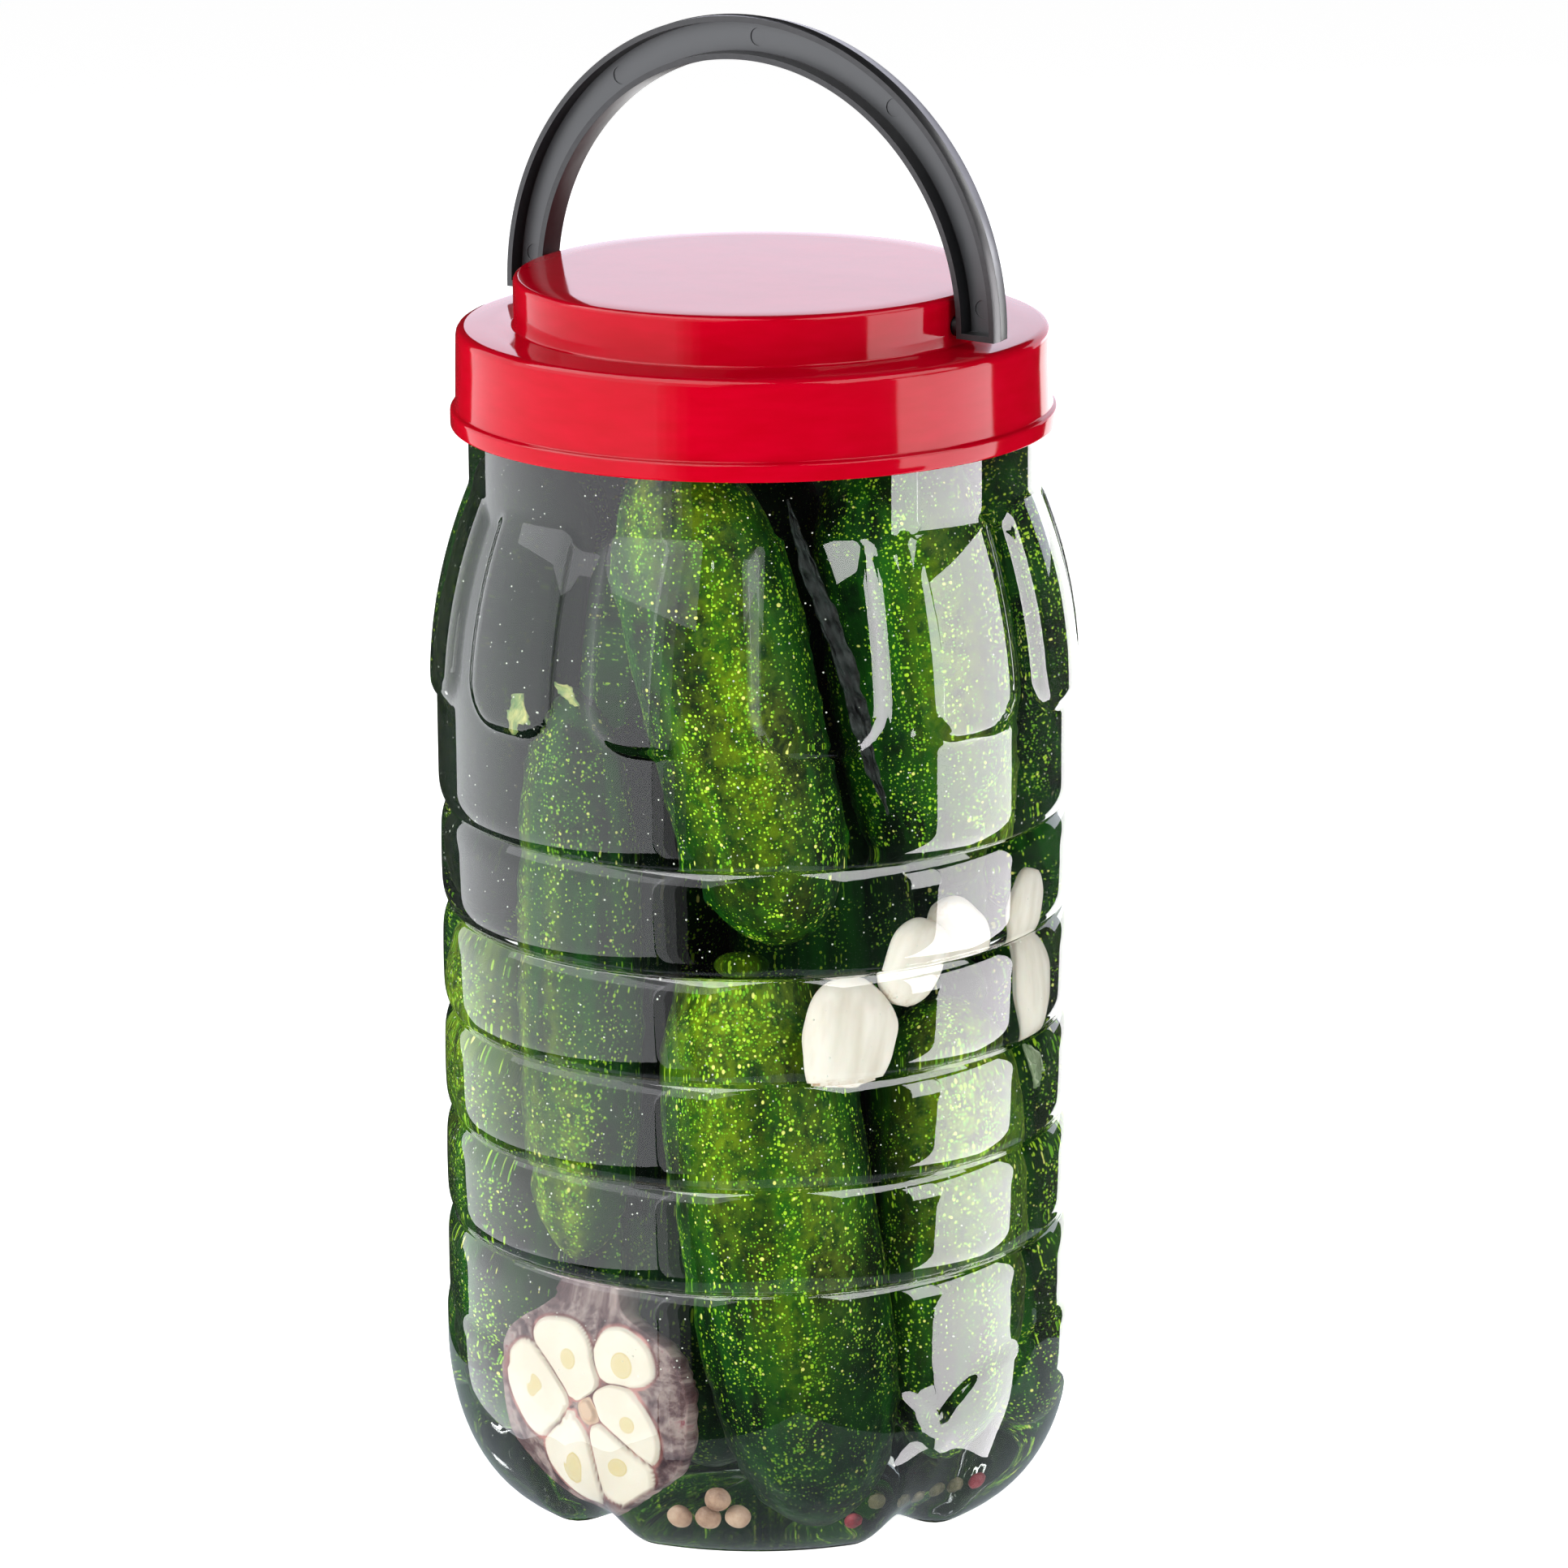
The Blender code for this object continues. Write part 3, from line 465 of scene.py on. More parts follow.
def arch_piece(name, section, end_drop):
    """A closed section of (radius, across) swept over the arch, with flat ends."""
    extra = math.asin(end_drop / HANDLE_OUTER)
    turns = np.linspace(-extra, math.pi + extra, HANDLE_STEPS)
    shape = bmesh.new()
    rings = []
    for turn in turns:
        ring = []
        for radius, across in section:
            x, z = radius * math.cos(turn), radius * math.sin(turn)
            ring.append(shape.verts.new(Vector((x, across, z + HANDLE_CENTRE)) * MM))
        rings.append(ring)
    count = len(section)
    for low, high in zip(rings, rings[1:]):
        for index in range(count):
            after = (index + 1) % count
            shape.faces.new((low[index], low[after], high[after], high[index]))
    shape.faces.new(rings[0])
    shape.faces.new(rings[-1][::-1])
    bmesh.ops.recalc_face_normals(shape, faces=shape.faces)
    return shaped_piece(name, shape, smooth=False)


half_width = HANDLE_WIDTH / 2
recess = HANDLE_RECESS - half_width
handle = arch_piece("carrying_handle", (
    (HANDLE_INNER + 0.1, -half_width), (HANDLE_INNER, HANDLE_PARTING), (HANDLE_INNER + 0.15, half_width),
    (HANDLE_OUTER - 0.8, half_width), (HANDLE_OUTER - 0.12, HANDLE_PARTING + 0.2),
    (HANDLE_OUTER, HANDLE_PARTING), (HANDLE_OUTER - 0.12, HANDLE_PARTING - 0.2),
    (HANDLE_OUTER - 0.15, -half_width),
), HANDLE_CENTRE - HANDLE_END)
channel = arch_piece("handle_channel", (
    (HANDLE_INNER + HANDLE_FLANGE, -half_width - 1), (HANDLE_INNER + HANDLE_FLANGE + 0.15, recess),
    (HANDLE_OUTER - HANDLE_FLANGE - 0.15, recess),
    (HANDLE_OUTER - HANDLE_FLANGE, -half_width - 1),
), HANDLE_CENTRE - HANDLE_END - HANDLE_FLANGE)
marks = []
for degrees in MOULD_MARKS:
    turn = math.radians(degrees)
    mark = rod_along_x("mould_mark", -1.0, 1.0, 0.0, MARK_RADIUS, 24)
    mark.rotation_euler = (0.0, 0.0, math.pi / 2)
    mark.location = Vector((HANDLE_MIDDLE * math.cos(turn), recess + MARK_DEPTH - 1.0,
                            HANDLE_MIDDLE * math.sin(turn) + HANDLE_CENTRE)) * MM
    marks.append(mark)
cut_or_join(handle, [channel] + marks, "DIFFERENCE")
pins = [rod_along_x("pin", side * (HANDLE_INNER - PIN_LENGTH), side * (HANDLE_INNER + HANDLE_FLANGE / 2),
                    PIVOT_HEIGHT, PIN_RADIUS, 28) for side in (1, -1)]
cut_or_join(handle, pins, "UNION")
edges = handle.modifiers.new("soft_edges", "BEVEL")
edges.width = HANDLE_EDGE * MM
edges.segments = 2
edges.limit_method = "ANGLE"
edges.angle_limit = math.radians(38)
handle.data.shade_smooth()
handle.data.set_sharp_from_angle(angle=math.radians(50))
black, tree, shader = new_finish("black_plastic", IOR=1.5)
scuff = noise_of(tree, None, 60.0, 5.0, 0.65)
coat = ramp_of(tree, scuff, ((0.35, (0.0045, 0.0045, 0.0055)), (0.75, (0.014, 0.014, 0.016))))
# Painted sheen: the floor of the channel is painted greyer in place of the sheen it shows; it lies within
# reach of the arch's middle line and deep in Y
place = place_of(tree)
flat = add_node(tree, "ShaderNodeVectorMath", {0: place, 1: (1000.0, 0.0, 1000.0),
                                               2: (0.0, 0.0, -HANDLE_CENTRE)}, operation="MULTIPLY_ADD")
reach = add_node(tree, "ShaderNodeVectorMath", {0: flat.outputs["Vector"]}, operation="LENGTH")
on_floor = math_of(tree, "COMPARE", reach.outputs["Value"], HANDLE_MIDDLE,
                   HANDLE_MIDDLE - HANDLE_INNER - HANDLE_FLANGE - 0.3)
depth = range_of(tree, add_node(tree, "ShaderNodeSeparateXYZ", {0: place}).outputs["Y"],
                 CHANNEL_DEEP, CHANNEL_SHALLOW)
painted_sheen = mix_of(tree, 1.0, depth, on_floor, "MULTIPLY")
feed(tree, shader.inputs["Base Color"], mix_of(tree, painted_sheen, coat, (0.046, 0.048, 0.052)))
mould(tree, shader, 260.0, 0.00005, 0.26, 0.42)
handle.data.materials.append(black)
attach(handle, "handle")
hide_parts("handle")

# The cucumbers
# Whole short cucumbers, most of them 100 to 125 mm long, packed upright in two layers. The skin
# is dark, with warts, lengthwise paler streaks and many fine yellow-green specks.
CONTENTS_TURN = math.radians(34.0)
CONTENTS = Matrix.Rotation(CONTENTS_TURN, 4, "Z")
# Top and bottom as (right, near, height), radius, and how far the middle bows outwards
CUCUMBERS = {
    "front_upper": ((-15.5, 38.0, 238.0), (6.0, 45.5, 134.0), 17.5, 0.5),
    "front_lower": ((-4.5, 38.5, 131.0), (12.0, 38.5, 7.0), 19.8, 4.0),
    "right_upper": ((25.0, 31.0, 238.0), (36.0, 28.0, 141.0), 18.6, 0.0),
    "right_lower": ((33.0, 25.5, 117.0), (34.0, 26.5, 17.0), 17.2, 3.0),
    "left_middle": ((-34.0, 36.0, 186.0), (-35.0, 36.5, 62.5), 13.6, 0.0),
    "left_inner": ((-23.0, 23.0, 176.0), (-23.0, 23.0, 68.0), 10.5, 0.0),
    "side_left_lower": ((-45.5, 2.0, 126.0), (-40.0, 3.0, 16.0), 17.0, 2.0),
    "side_left_upper": ((-38.5, 6.0, 232.0), (-46.0, 2.0, 130.0), 17.4, 1.0),
    "side_right_lower": ((45.5, -9.0, 122.0), (40.5, -8.0, 14.0), 17.4, 2.0),
    "side_right_upper": ((39.0, -7.0, 230.0), (45.5, -9.0, 126.0), 17.8, 1.0),
    "back_right_lower": ((26.5, -38.5, 128.0), (25.0, -33.5, 12.0), 17.6, 2.0),
    "back_right_upper": ((22.5, -33.5, 234.0), (27.0, -38.0, 133.0), 17.6, 1.0),
    "back_left_lower": ((-9.5, -45.5, 120.0), (-8.0, -40.5, 13.0), 17.6, 2.0),
    "back_left_upper": ((-9.0, -40.0, 228.0), (-10.0, -45.5, 125.0), 18.0, 1.0),
    "far_left_lower": ((-39.0, -29.5, 132.0), (-34.5, -26.0, 15.0), 16.6, 1.0),
    "far_left_upper": ((-33.0, -25.0, 236.0), (-39.0, -29.0, 137.0), 16.8, 1.0),
    "middle_near": ((8.0, 12.0, 186.0), (14.0, 13.0, 76.0), 17.0, 0.0),
    "middle_near_low": ((-10.0, 16.0, 96.0), (-8.0, 14.0, 13.0), 15.0, 0.0),
    "middle_near_high": ((0.0, 14.0, 236.0), (-6.0, 16.0, 140.0), 15.0, 0.0),
    "middle_right": ((22.0, 3.0, 196.0), (24.0, 2.0, 90.0), 15.0, 0.0),
    "middle_far": ((0.0, -14.0, 182.0), (2.0, -14.0, 72.0), 17.0, 0.0),
    "middle_far_high": ((2.0, -16.0, 236.0), (0.0, -17.0, 180.0), 15.0, 0.0),
    "middle_left": ((-18.0, 0.0, 210.0), (-19.0, -2.0, 100.0), 16.0, 0.0),
    "middle_left_low": ((-18.0, -4.0, 104.0), (-17.0, -2.0, 14.0), 15.0, 0.0),
    "middle_right_low": ((14.0, 0.0, 90.0), (15.0, 2.0, 14.0), 15.0, 0.0),
}
# Paler patches: share of the length, degrees round from the outer side, reach along and round
# in millimetres, strength
PALE_PATCHES = {
    "front_upper": ((0.93, -38, 16, 7, 0.8), (0.90, 18, 18, 9, 0.6),
                    (0.45, 14, 34, 9, 0.75), (0.34, -30, 22, 5, 0.5)),
    "front_lower": ((0.94, -22, 17, 26, 1.0), (0.74, -34, 26, 9, 0.7),
                    (0.60, 22, 24, 9, 0.6), (0.40, -6, 22, 8, 0.4)),
    "right_upper": ((0.55, -16, 30, 8, 0.65), (0.12, 28, 16, 16, 0.6)),
    "right_lower": ((0.75, 55, 50, 9, 0.6), (0.80, -22, 36, 14, 0.9)),
    "left_middle": ((0.12, -20, 26, 5, 1.0), (0.14, 24, 26, 5, 1.0),
                    (0.5, -30, 40, 2.5, 0.8), (0.5, 10, 30, 2, 0.6)),
    "side_right_upper": ((0.7, 20, 50, 14, 0.8),),
    "side_left_upper": ((0.5, -20, 60, 12, 0.7),),
    "side_left_lower": ((0.86, -10, 26, 30, 1.0),),
    "side_right_lower": ((0.6, 20, 60, 16, 0.9),),
}
# Painted shade: how much darker the skin of each cucumber that lies in shade, deep in the jar or at the
# left, is painted
PAINTED_SHADE_ONES = {"side_left_upper": 0.94, "left_inner": 0.95, "left_middle": 0.35, "middle_near": 0.6,
             "middle_near_low": 0.75, "middle_near_high": 0.85, "middle_right": 0.6}
# Painted shade: share of the length up to which the lower end is painted darker, and how much
PAINTED_SHADE_ENDS, PAINTED_END_SHADE = {"front_lower": 0.55, "right_upper": 0.2}, 0.7
WART_COUNT, GOLDEN_ANGLE, WART_TIP = 120, 2.39996, 0.75
PICK_STEP = 0.37  # shift of the skin's pattern from one cucumber to the next
FINE_MESH, COARSE_MESH = (150, 140), (64, 56)
FINELY_MADE = ("front_upper", "front_lower", "right_upper", "right_lower", "left_middle")


def mark_points(piece, label, values, poles):
    """Keeps one number for each point of a piece, its two poles last."""
    layer = piece.data.attributes.new(label, "FLOAT", "POINT")
    layer.data.foreach_set("value", np.append(np.ravel(values), poles).astype(np.float32))


def turn_apart(around, turn):
    return (around - turn + math.pi) % (2 * math.pi) - math.pi


def cucumber_piece(name, top, bottom, radius, bow, number):
    """One cucumber, its own Z along its length, its own -Y towards the jar's wall."""
    draw = np.random.default_rng(40 + number)
    start, finish = Vector((bottom[0], -bottom[1], bottom[2])), Vector((top[0], -top[1], top[2]))
    middle = (start + finish) / 2
    outward = Vector((middle.x, middle.y, 0.0)).normalized()
    axis = (finish - start).normalized()
    side = outward.cross(axis).normalized() * -1
    front = side.cross(axis)
    length = (finish - start).length
    rows, columns = FINE_MESH if name in FINELY_MADE else COARSE_MESH
    along = 0.5 - 0.5 * np.cos(np.linspace(0.0, math.pi, rows + 2)[1:-1])
    along, around = np.meshgrid(along, full_turn(columns), indexing="ij")
    off_middle = np.abs(2 * along - 1)
    reach = radius * (1 - off_middle ** 4.2) ** 0.5 * (1 - 0.06 * off_middle ** 2)
    phase = draw.uniform(0, 6.28, 4)
    swell = 0.014 * np.cos(3 * around + phase[0]) + 0.010 * np.cos(5 * around + 4 * along + phase[1])
    swell += 0.012 * np.cos(9 * along + phase[2]) + 0.010 * np.cos(2 * around + 14 * along + phase[3])
    wart_height = np.zeros_like(along)
    wart_tip = np.zeros_like(along)
    for index in range(WART_COUNT):
        spot = (index + 0.5) / WART_COUNT * 0.92 + 0.04 + draw.uniform(-0.01, 0.01)
        turn = index * GOLDEN_ANGLE + draw.uniform(-0.25, 0.25)
        size = draw.uniform(1.3, 2.3)
        tall = draw.uniform(0.35, 0.95)
        distance = np.hypot((along - spot) * length, turn_apart(around, turn) * reach)
        wart_height += tall * np.exp(-(distance / size) ** 2)
        wart_tip = np.maximum(wart_tip, np.exp(-(distance / WART_TIP) ** 2))
    pale = np.zeros_like(along)
    for spot, degrees, far_along, far_round, strength in PALE_PATCHES.get(name, ()):
        apart = turn_apart(around, math.radians(degrees))
        distance = np.hypot((along - spot) * length / far_along, apart * radius / far_round)
        pale = np.maximum(pale, strength * np.exp(-distance ** 2))
    reach = reach * (1 + swell) + wart_height * np.clip(reach / radius * 1.4, 0, 1) - 0.7
    lean = bow * (1 - (2 * along - 1) ** 2)
    points = np.stack([reach * np.sin(around), -reach * np.cos(around) - lean, (along - 0.5) * length],
                      axis=-1).reshape(-1, 3) * MM
    ends = [(0.0, 0.0, -length / 2 * MM + 0.4 * MM), (0.0, 0.0, length / 2 * MM - 0.4 * MM)]
    faces = ring_faces(rows, columns, upwards=True)
    faces += pole_faces(0, columns, rows * columns, True)
    faces += pole_faces(rows - 1, columns, rows * columns + 1, False)
    piece = listed_piece("cucumber_" + name, list(points) + ends, faces)
    # Painted shade: darker skin for the cucumbers that lie in shade and for the shaded lower ends
    shade = np.full(along.shape, PAINTED_SHADE_ONES.get(name, 0.0))
    shade = np.maximum(shade, PAINTED_END_SHADE * (1 - smooth_step(along / PAINTED_SHADE_ENDS.get(name, 0.01))))
    mark_points(piece, "wart", wart_tip, (0.0, 0.0))
    mark_points(piece, "pale", pale, (0.0, 0.0))
    mark_points(piece, "pick", np.full(along.shape, number * PICK_STEP), (number * PICK_STEP,) * 2)
    mark_points(piece, "shade", shade, (shade[0, 0], shade[-1, 0]))
    turn = Matrix((side, front * -1, axis)).transposed().to_4x4()
    piece.matrix_world = CONTENTS @ Matrix.Translation(middle * MM) @ turn
    return piece


def attribute_of(tree, name):
    return add_node(tree, "ShaderNodeAttribute", attribute_name=name).outputs["Fac"]


def specks_of(tree, place, grain, scale, scatter, size, reach):
    """Round specks, one to a cell at most; scatter shrinks those of some cells, grain swells them."""
    cells = add_node(tree, "ShaderNodeTexVoronoi", {"Scale": scale, "Vector": place})
    apart = add_node(tree, "ShaderNodeSeparateColor", {0: cells.outputs["Color"]})
    away = math_of(tree, "MULTIPLY_ADD", apart.outputs[0], scatter, cells.outputs["Distance"])
    swollen = math_of(tree, "MULTIPLY_ADD", grain, -reach, away)
    return ramp_of(tree, swollen, ((size, 1.0), (size + 0.07, 0.0)))


def skin_finish():
    material, tree, shader = new_finish("cucumber_skin", Specular_IOR_Level=0.05)
    shift = add_node(tree, "ShaderNodeCombineXYZ", {"X": attribute_of(tree, "pick")})
    own = add_node(tree, "ShaderNodeVectorMath", {0: place_of(tree), 1: shift.outputs["Vector"]},
                   operation="ADD").outputs["Vector"]
    drawn = stretched(tree, own, (1.0, 1.0, 0.16))
    streaks = ramp_of(tree, noise_of(tree, drawn, 120.0, 4.0, 0.6), ((0.48, 0.0), (0.66, 1.0)))
    patches = ramp_of(tree, noise_of(tree, own, 60.0, 5.0, 0.65), ((0.42, 0.0), (0.58, 1.0)))
    pale = attribute_of(tree, "pale")
    colour = mix_of(tree, patches, (0.0008, 0.0060, 0.0020), (0.0040, 0.042, 0.0025))
    colour = mix_of(tree, streaks, colour, (0.007, 0.080, 0.004))
    blotch = ramp_of(tree, noise_of(tree, own, 330.0, 5.0, 0.7), ((0.40, 0.15), (0.60, 1.0)))
    colour = mix_of(tree, mix_of(tree, 1.0, pale, blotch, "MULTIPLY"), colour, (0.17, 0.27, 0.003))
    where = ramp_of(tree, noise_of(tree, drawn, 150.0, 4.0, 0.65), ((0.38, 0.0), (0.62, 0.8)))
    grain = mix_of(tree, 1.0, where, pale, "LIGHTEN")
    for scale, scatter, size, reach, tone in (
            (1500.0, 0.50, 0.20, 0.32, (0.14, 0.42, 0.012)),
            (1150.0, 0.50, 0.20, 0.28, (0.38, 0.66, 0.03)),
            (620.0, 0.70, 0.16, 0.10, (0.76, 0.80, 0.18))):
        colour = mix_of(tree, specks_of(tree, own, grain, scale, scatter, size, reach), colour, tone)
    wart = attribute_of(tree, "wart")
    ring = ramp_of(tree, wart, ((0.10, 0.0), (0.35, 0.65), (0.60, 0.5), (0.75, 0.0)))
    colour = mix_of(tree, ring, colour, (0.002, 0.022, 0.006))
    tip = ramp_of(tree, wart, ((0.72, 0.0), (0.95, 0.8)))
    colour = mix_of(tree, tip, colour, (0.32, 0.30, 0.16))
    # Painted shade: the skin runs to near black where the shade mark is high
    colour = mix_of(tree, attribute_of(tree, "shade"), colour, (0.0008, 0.006, 0.003))
    feed(tree, shader.inputs["Base Color"], colour)
    feed(tree, shader.inputs["Roughness"], ramp_of(tree, streaks, ((0.0, 0.5), (1.0, 0.36))))
    bump_of(tree, noise_of(tree, own, 520.0, 4.0, 0.6), 0.0005, shader, 0.7)
    return material


skin = skin_finish()
for number, (name, (top, bottom, radius, bow)) in enumerate(CUCUMBERS.items()):
    cucumber = cucumber_piece(name, top, bottom, radius, bow, number)
    cucumber.data.materials.append(skin)
    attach(cucumber, "jar")
    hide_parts("cucumbers")

# The halved garlic bulb
# Half a bulb, its cut face against the wall: six cloves round the stalk, each with its yellow
# core, pink-brown skins between them and papery purple-streaked skin behind.
BULB_CENTRE, BULB_RADIUS, BULB_DEPTH = (-33.7, 39.7, 31.5), 23.3, 17.0
BULB_TURN = math.radians(-41.0)
# Each cut clove: corners of its outline on the face, its core's place and size, millimetres
CUT_CLOVES = (
    (((-16.4, 14.0), (-21.0, 8.0), (-20.0, 0.0), (-15.0, -7.0), (-11.0, -7.4), (-3.4, -0.4),
      (-9.5, 9.0)),
     (-14.4, 2.4), (1.4, 2.3)),
    (((-14.0, 14.8), (-11.0, 20.0), (-2.5, 21.3), (1.0, 18.0), (4.0, 8.0), (2.5, 4.4), (-1.0, 1.5),
      (-5.0, 5.0)),
     (-3.6, 12.0), (2.0, 2.4)),
    (((3.3, 13.4), (6.4, 20.6), (11.6, 22.0), (18.0, 18.4), (19.4, 12.0), (15.0, 7.8), (6.0, 8.6)),
     (11.4, 13.4), (2.7, 3.1)),
    (((4.2, 3.4), (8.0, 6.6), (14.4, 5.4), (20.4, -2.6), (19.6, -8.4), (16.2, -8.4), (6.6, -3.0)),
     (12.8, -1.0), (1.9, 1.8)),
    (((2.4, -5.0), (5.4, -3.2), (12.4, -6.6), (18.6, -10.6), (18.0, -17.0), (10.6, -19.4), (5.6, -15.6)),
     (10.2, -11.2), (2.3, 1.9)),
    (((-10.4, -8.6), (-3.0, -3.0), (0.2, -5.4), (4.4, -14.6), (5.4, -20.2), (-2.4, -19.4), (-9.4, -14.0)),
     (-2.4, -13.0), (2.4, 3.1)),
)
STALK_PLACE, STALK_RADIUS = (2.0, -0.8), 2.1
CLOVE_SPREAD, SEAM_WIDTH, CORNER_CUT = 1.0, 0.5, 0.22
# The cut face is smaller than the bulb and lies low to the left on it; the rest is skin
FACE_SHARE, FACE_SHIFT, FLANK_FALL = 0.90, (-1.6, -2.3), 0.55


def softened(corners, rounds=3):
    """Cuts the corners of an outline until it runs round."""
    points = np.array(corners, float)
    for _ in range(rounds):
        after = np.roll(points, -1, axis=0)
        pair = [points * share + after * (1 - share) for share in (1 - CORNER_CUT, CORNER_CUT)]
        points = np.stack(pair, axis=1).reshape(-1, 2)
    return points


def inside_by(outline, x, z):
    """Distance inside an outline, negative outside it."""
    nearest = np.full_like(x, 1e9)
    crossings = np.zeros(x.shape, bool)
    for (ax, az), (bx, bz) in zip(outline, np.roll(outline, -1, axis=0)):
        side_x, side_z = bx - ax, bz - az
        share = np.clip(((x - ax) * side_x + (z - az) * side_z) / (side_x ** 2 + side_z ** 2), 0, 1)
        nearest = np.minimum(nearest, np.hypot(x - ax - share * side_x, z - az - share * side_z))
        spans = (az > z) != (bz > z)
        with np.errstate(divide="ignore", invalid="ignore"):
            crossings ^= spans & (x < (bx - ax) * (z - az) / (bz - az) + ax)
    return np.where(crossings, nearest, -nearest)


def bulb_piece():
    columns, face_rings, back_rings = 220, 84, 44
    turn = full_turn(columns)
    swell = 1 + 0.035 * np.cos(6 * turn + 0.5)
    points, inside_marks, core_marks, skin_marks = [], [], [], []
    face_radius = BULB_RADIUS - 1.4
    for ring in range(1, face_rings + 1):
        share = ring / face_rings
        right, up = share * face_radius * swell * np.sin(turn), share * face_radius * swell * np.cos(turn)
        x, z = (right - FACE_SHIFT[0]) / FACE_SHARE, (up - FACE_SHIFT[1]) / FACE_SHARE
        core = np.zeros_like(x)
        insides = []
        for corners, (core_x, core_z), (core_wide, core_tall) in CUT_CLOVES:
            insides.append(inside_by(softened(corners), x, z) + CLOVE_SPREAD)
            core = np.maximum(core, 1.6 - np.hypot((x - core_x) / core_wide, (z - core_z) / core_tall))
        stalk = STALK_RADIUS - np.hypot(x - STALK_PLACE[0], z - STALK_PLACE[1])
        insides = np.sort(np.array(insides + [stalk]), axis=0)
        depth = np.minimum(insides[-1], (insides[-1] - insides[-2] - SEAM_WIDTH) / 2)
        rise = 1.1 * smooth_step((depth + 0.15) / 0.9) - 0.8 + 0.15 * smooth_step((core - 0.55) / 0.1)
        fall = FLANK_FALL * np.maximum(-depth - 0.6, 0.0)
        points.append(np.stack([right, fall - rise, up], axis=1))
        inside_marks.append(smooth_step((depth + 0.2) / 0.35) - 2 * (stalk > insides[-2]))
        core_marks.append(np.clip(core, 0, 1))
        skin_marks.append(smooth_step((-depth - 0.5) / 0.5))
    for ring in range(back_rings):
        tilt = (ring + 0.2) / back_rings * math.pi / 2
        bulge = 1 + 0.05 * math.sin(2 * tilt) - 0.02 * math.cos(tilt)
        ridge = 1 + 0.012 * np.cos(34 * turn + 3 * np.sin(5 * turn)) * math.sin(2 * tilt)
        radius = BULB_RADIUS * swell * ridge * math.cos(tilt) * min(bulge, 1.0)
        y = BULB_DEPTH * math.sin(tilt) + 0.2 + fall * (1 - math.sin(tilt))
        points.append(np.stack([radius * np.sin(turn), y, radius * np.cos(turn)], axis=1))
        inside_marks.append(np.zeros_like(turn))
        core_marks.append(np.zeros_like(turn))
        skin_marks.append(np.ones_like(turn))
    rows = len(points)
    poles = [(0.0, 0.8 * MM, 0.0), (0.0, (BULB_DEPTH + 0.2) * MM, 0.0)]
    faces = ring_faces(rows, columns)
    faces += pole_faces(0, columns, rows * columns, False)
    faces += pole_faces(rows - 1, columns, rows * columns + 1, True)
    piece = listed_piece("garlic_half_bulb", list(np.concatenate(points) * MM) + poles, faces)
    mark_points(piece, "flesh", inside_marks, (0.0, 0.0))
    mark_points(piece, "core", core_marks, (0.0, 0.0))
    mark_points(piece, "skin", skin_marks, (0.0, 1.0))
    place = Vector((BULB_CENTRE[0], -BULB_CENTRE[1], BULB_CENTRE[2])) * MM
    piece.matrix_world = CONTENTS @ Matrix.Translation(place) @ Matrix.Rotation(BULB_TURN, 4, "Z")
    return piece


def bulb_finish():
    material, tree, shader = new_finish("cut_garlic", Roughness=0.4, Specular_IOR_Level=0.12,
                                        Subsurface_Weight=0.15, Subsurface_Scale=0.002)
    place = place_of(tree)
    flesh_tone = ramp_of(tree, noise_of(tree, place, 70.0, 3.0),
                         ((0.3, (0.56, 0.51, 0.41)), (0.7, (0.67, 0.63, 0.54))))
    core = attribute_of(tree, "core")
    rim = ramp_of(tree, core, ((0.50, 0.0), (0.60, 1.0), (0.70, 0.62), (1.0, 0.75)))
    flesh_tone = mix_of(tree, rim, flesh_tone, (0.52, 0.43, 0.19))
    seam_tone = ramp_of(tree, noise_of(tree, place, 160.0, 3.0),
                        ((0.42, (0.09, 0.015, 0.014)), (0.64, (0.42, 0.20, 0.18))))
    flesh = attribute_of(tree, "flesh")
    face_tone = mix_of(tree, ramp_of(tree, flesh, ((0.0, 0.0), (1.0, 1.0))), seam_tone, flesh_tone)
    stalk = math_of(tree, "LESS_THAN", flesh, -0.5)
    face_tone = mix_of(tree, stalk, face_tone, (0.50, 0.36, 0.25))
    streaks = noise_of(tree, stretched(tree, place, (1.0, 0.12, 1.0)), 260.0, 4.0, 0.65)
    paper = ramp_of(tree, streaks, ((0.34, (0.03, 0.011, 0.014)), (0.46, (0.11, 0.065, 0.066)),
                                    (0.60, (0.29, 0.23, 0.21)), (0.74, (0.20, 0.055, 0.07))))
    feed(tree, shader.inputs["Base Color"], mix_of(tree, attribute_of(tree, "skin"), face_tone, paper))
    bump_of(tree, streaks, 0.0004, shader, 0.5)
    return material


bulb = bulb_piece()
bulb.data.materials.append(bulb_finish())
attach(bulb, "jar")
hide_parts("garlic_bulb")

# The garlic cloves
# Five peeled cloves caught between the cucumbers and the wall: smooth ivory drops with a flat
# root end and a low ridge down the inner side.
# Right, near and height of the middle; length, width and thickness; turn and lean in degrees
CLOVES = (
    (17.8, 55.8, 115.5, 24.0, 20.5, 11.0, 18.0, 188.0),
    (30.7, 48.8, 130.0, 19.5, 15.0, 12.0, 32.0, 208.0),
    (38.5, 37.5, 133.0, 17.5, 14.0, 12.0, 44.0, -35.0),
    (52.4, 26.8, 136.2, 15.5, 12.0, 9.6, 62.0, 20.0),
    (54.0, 24.8, 117.3, 20.5, 13.5, 9.6, 64.0, 174.0),
)


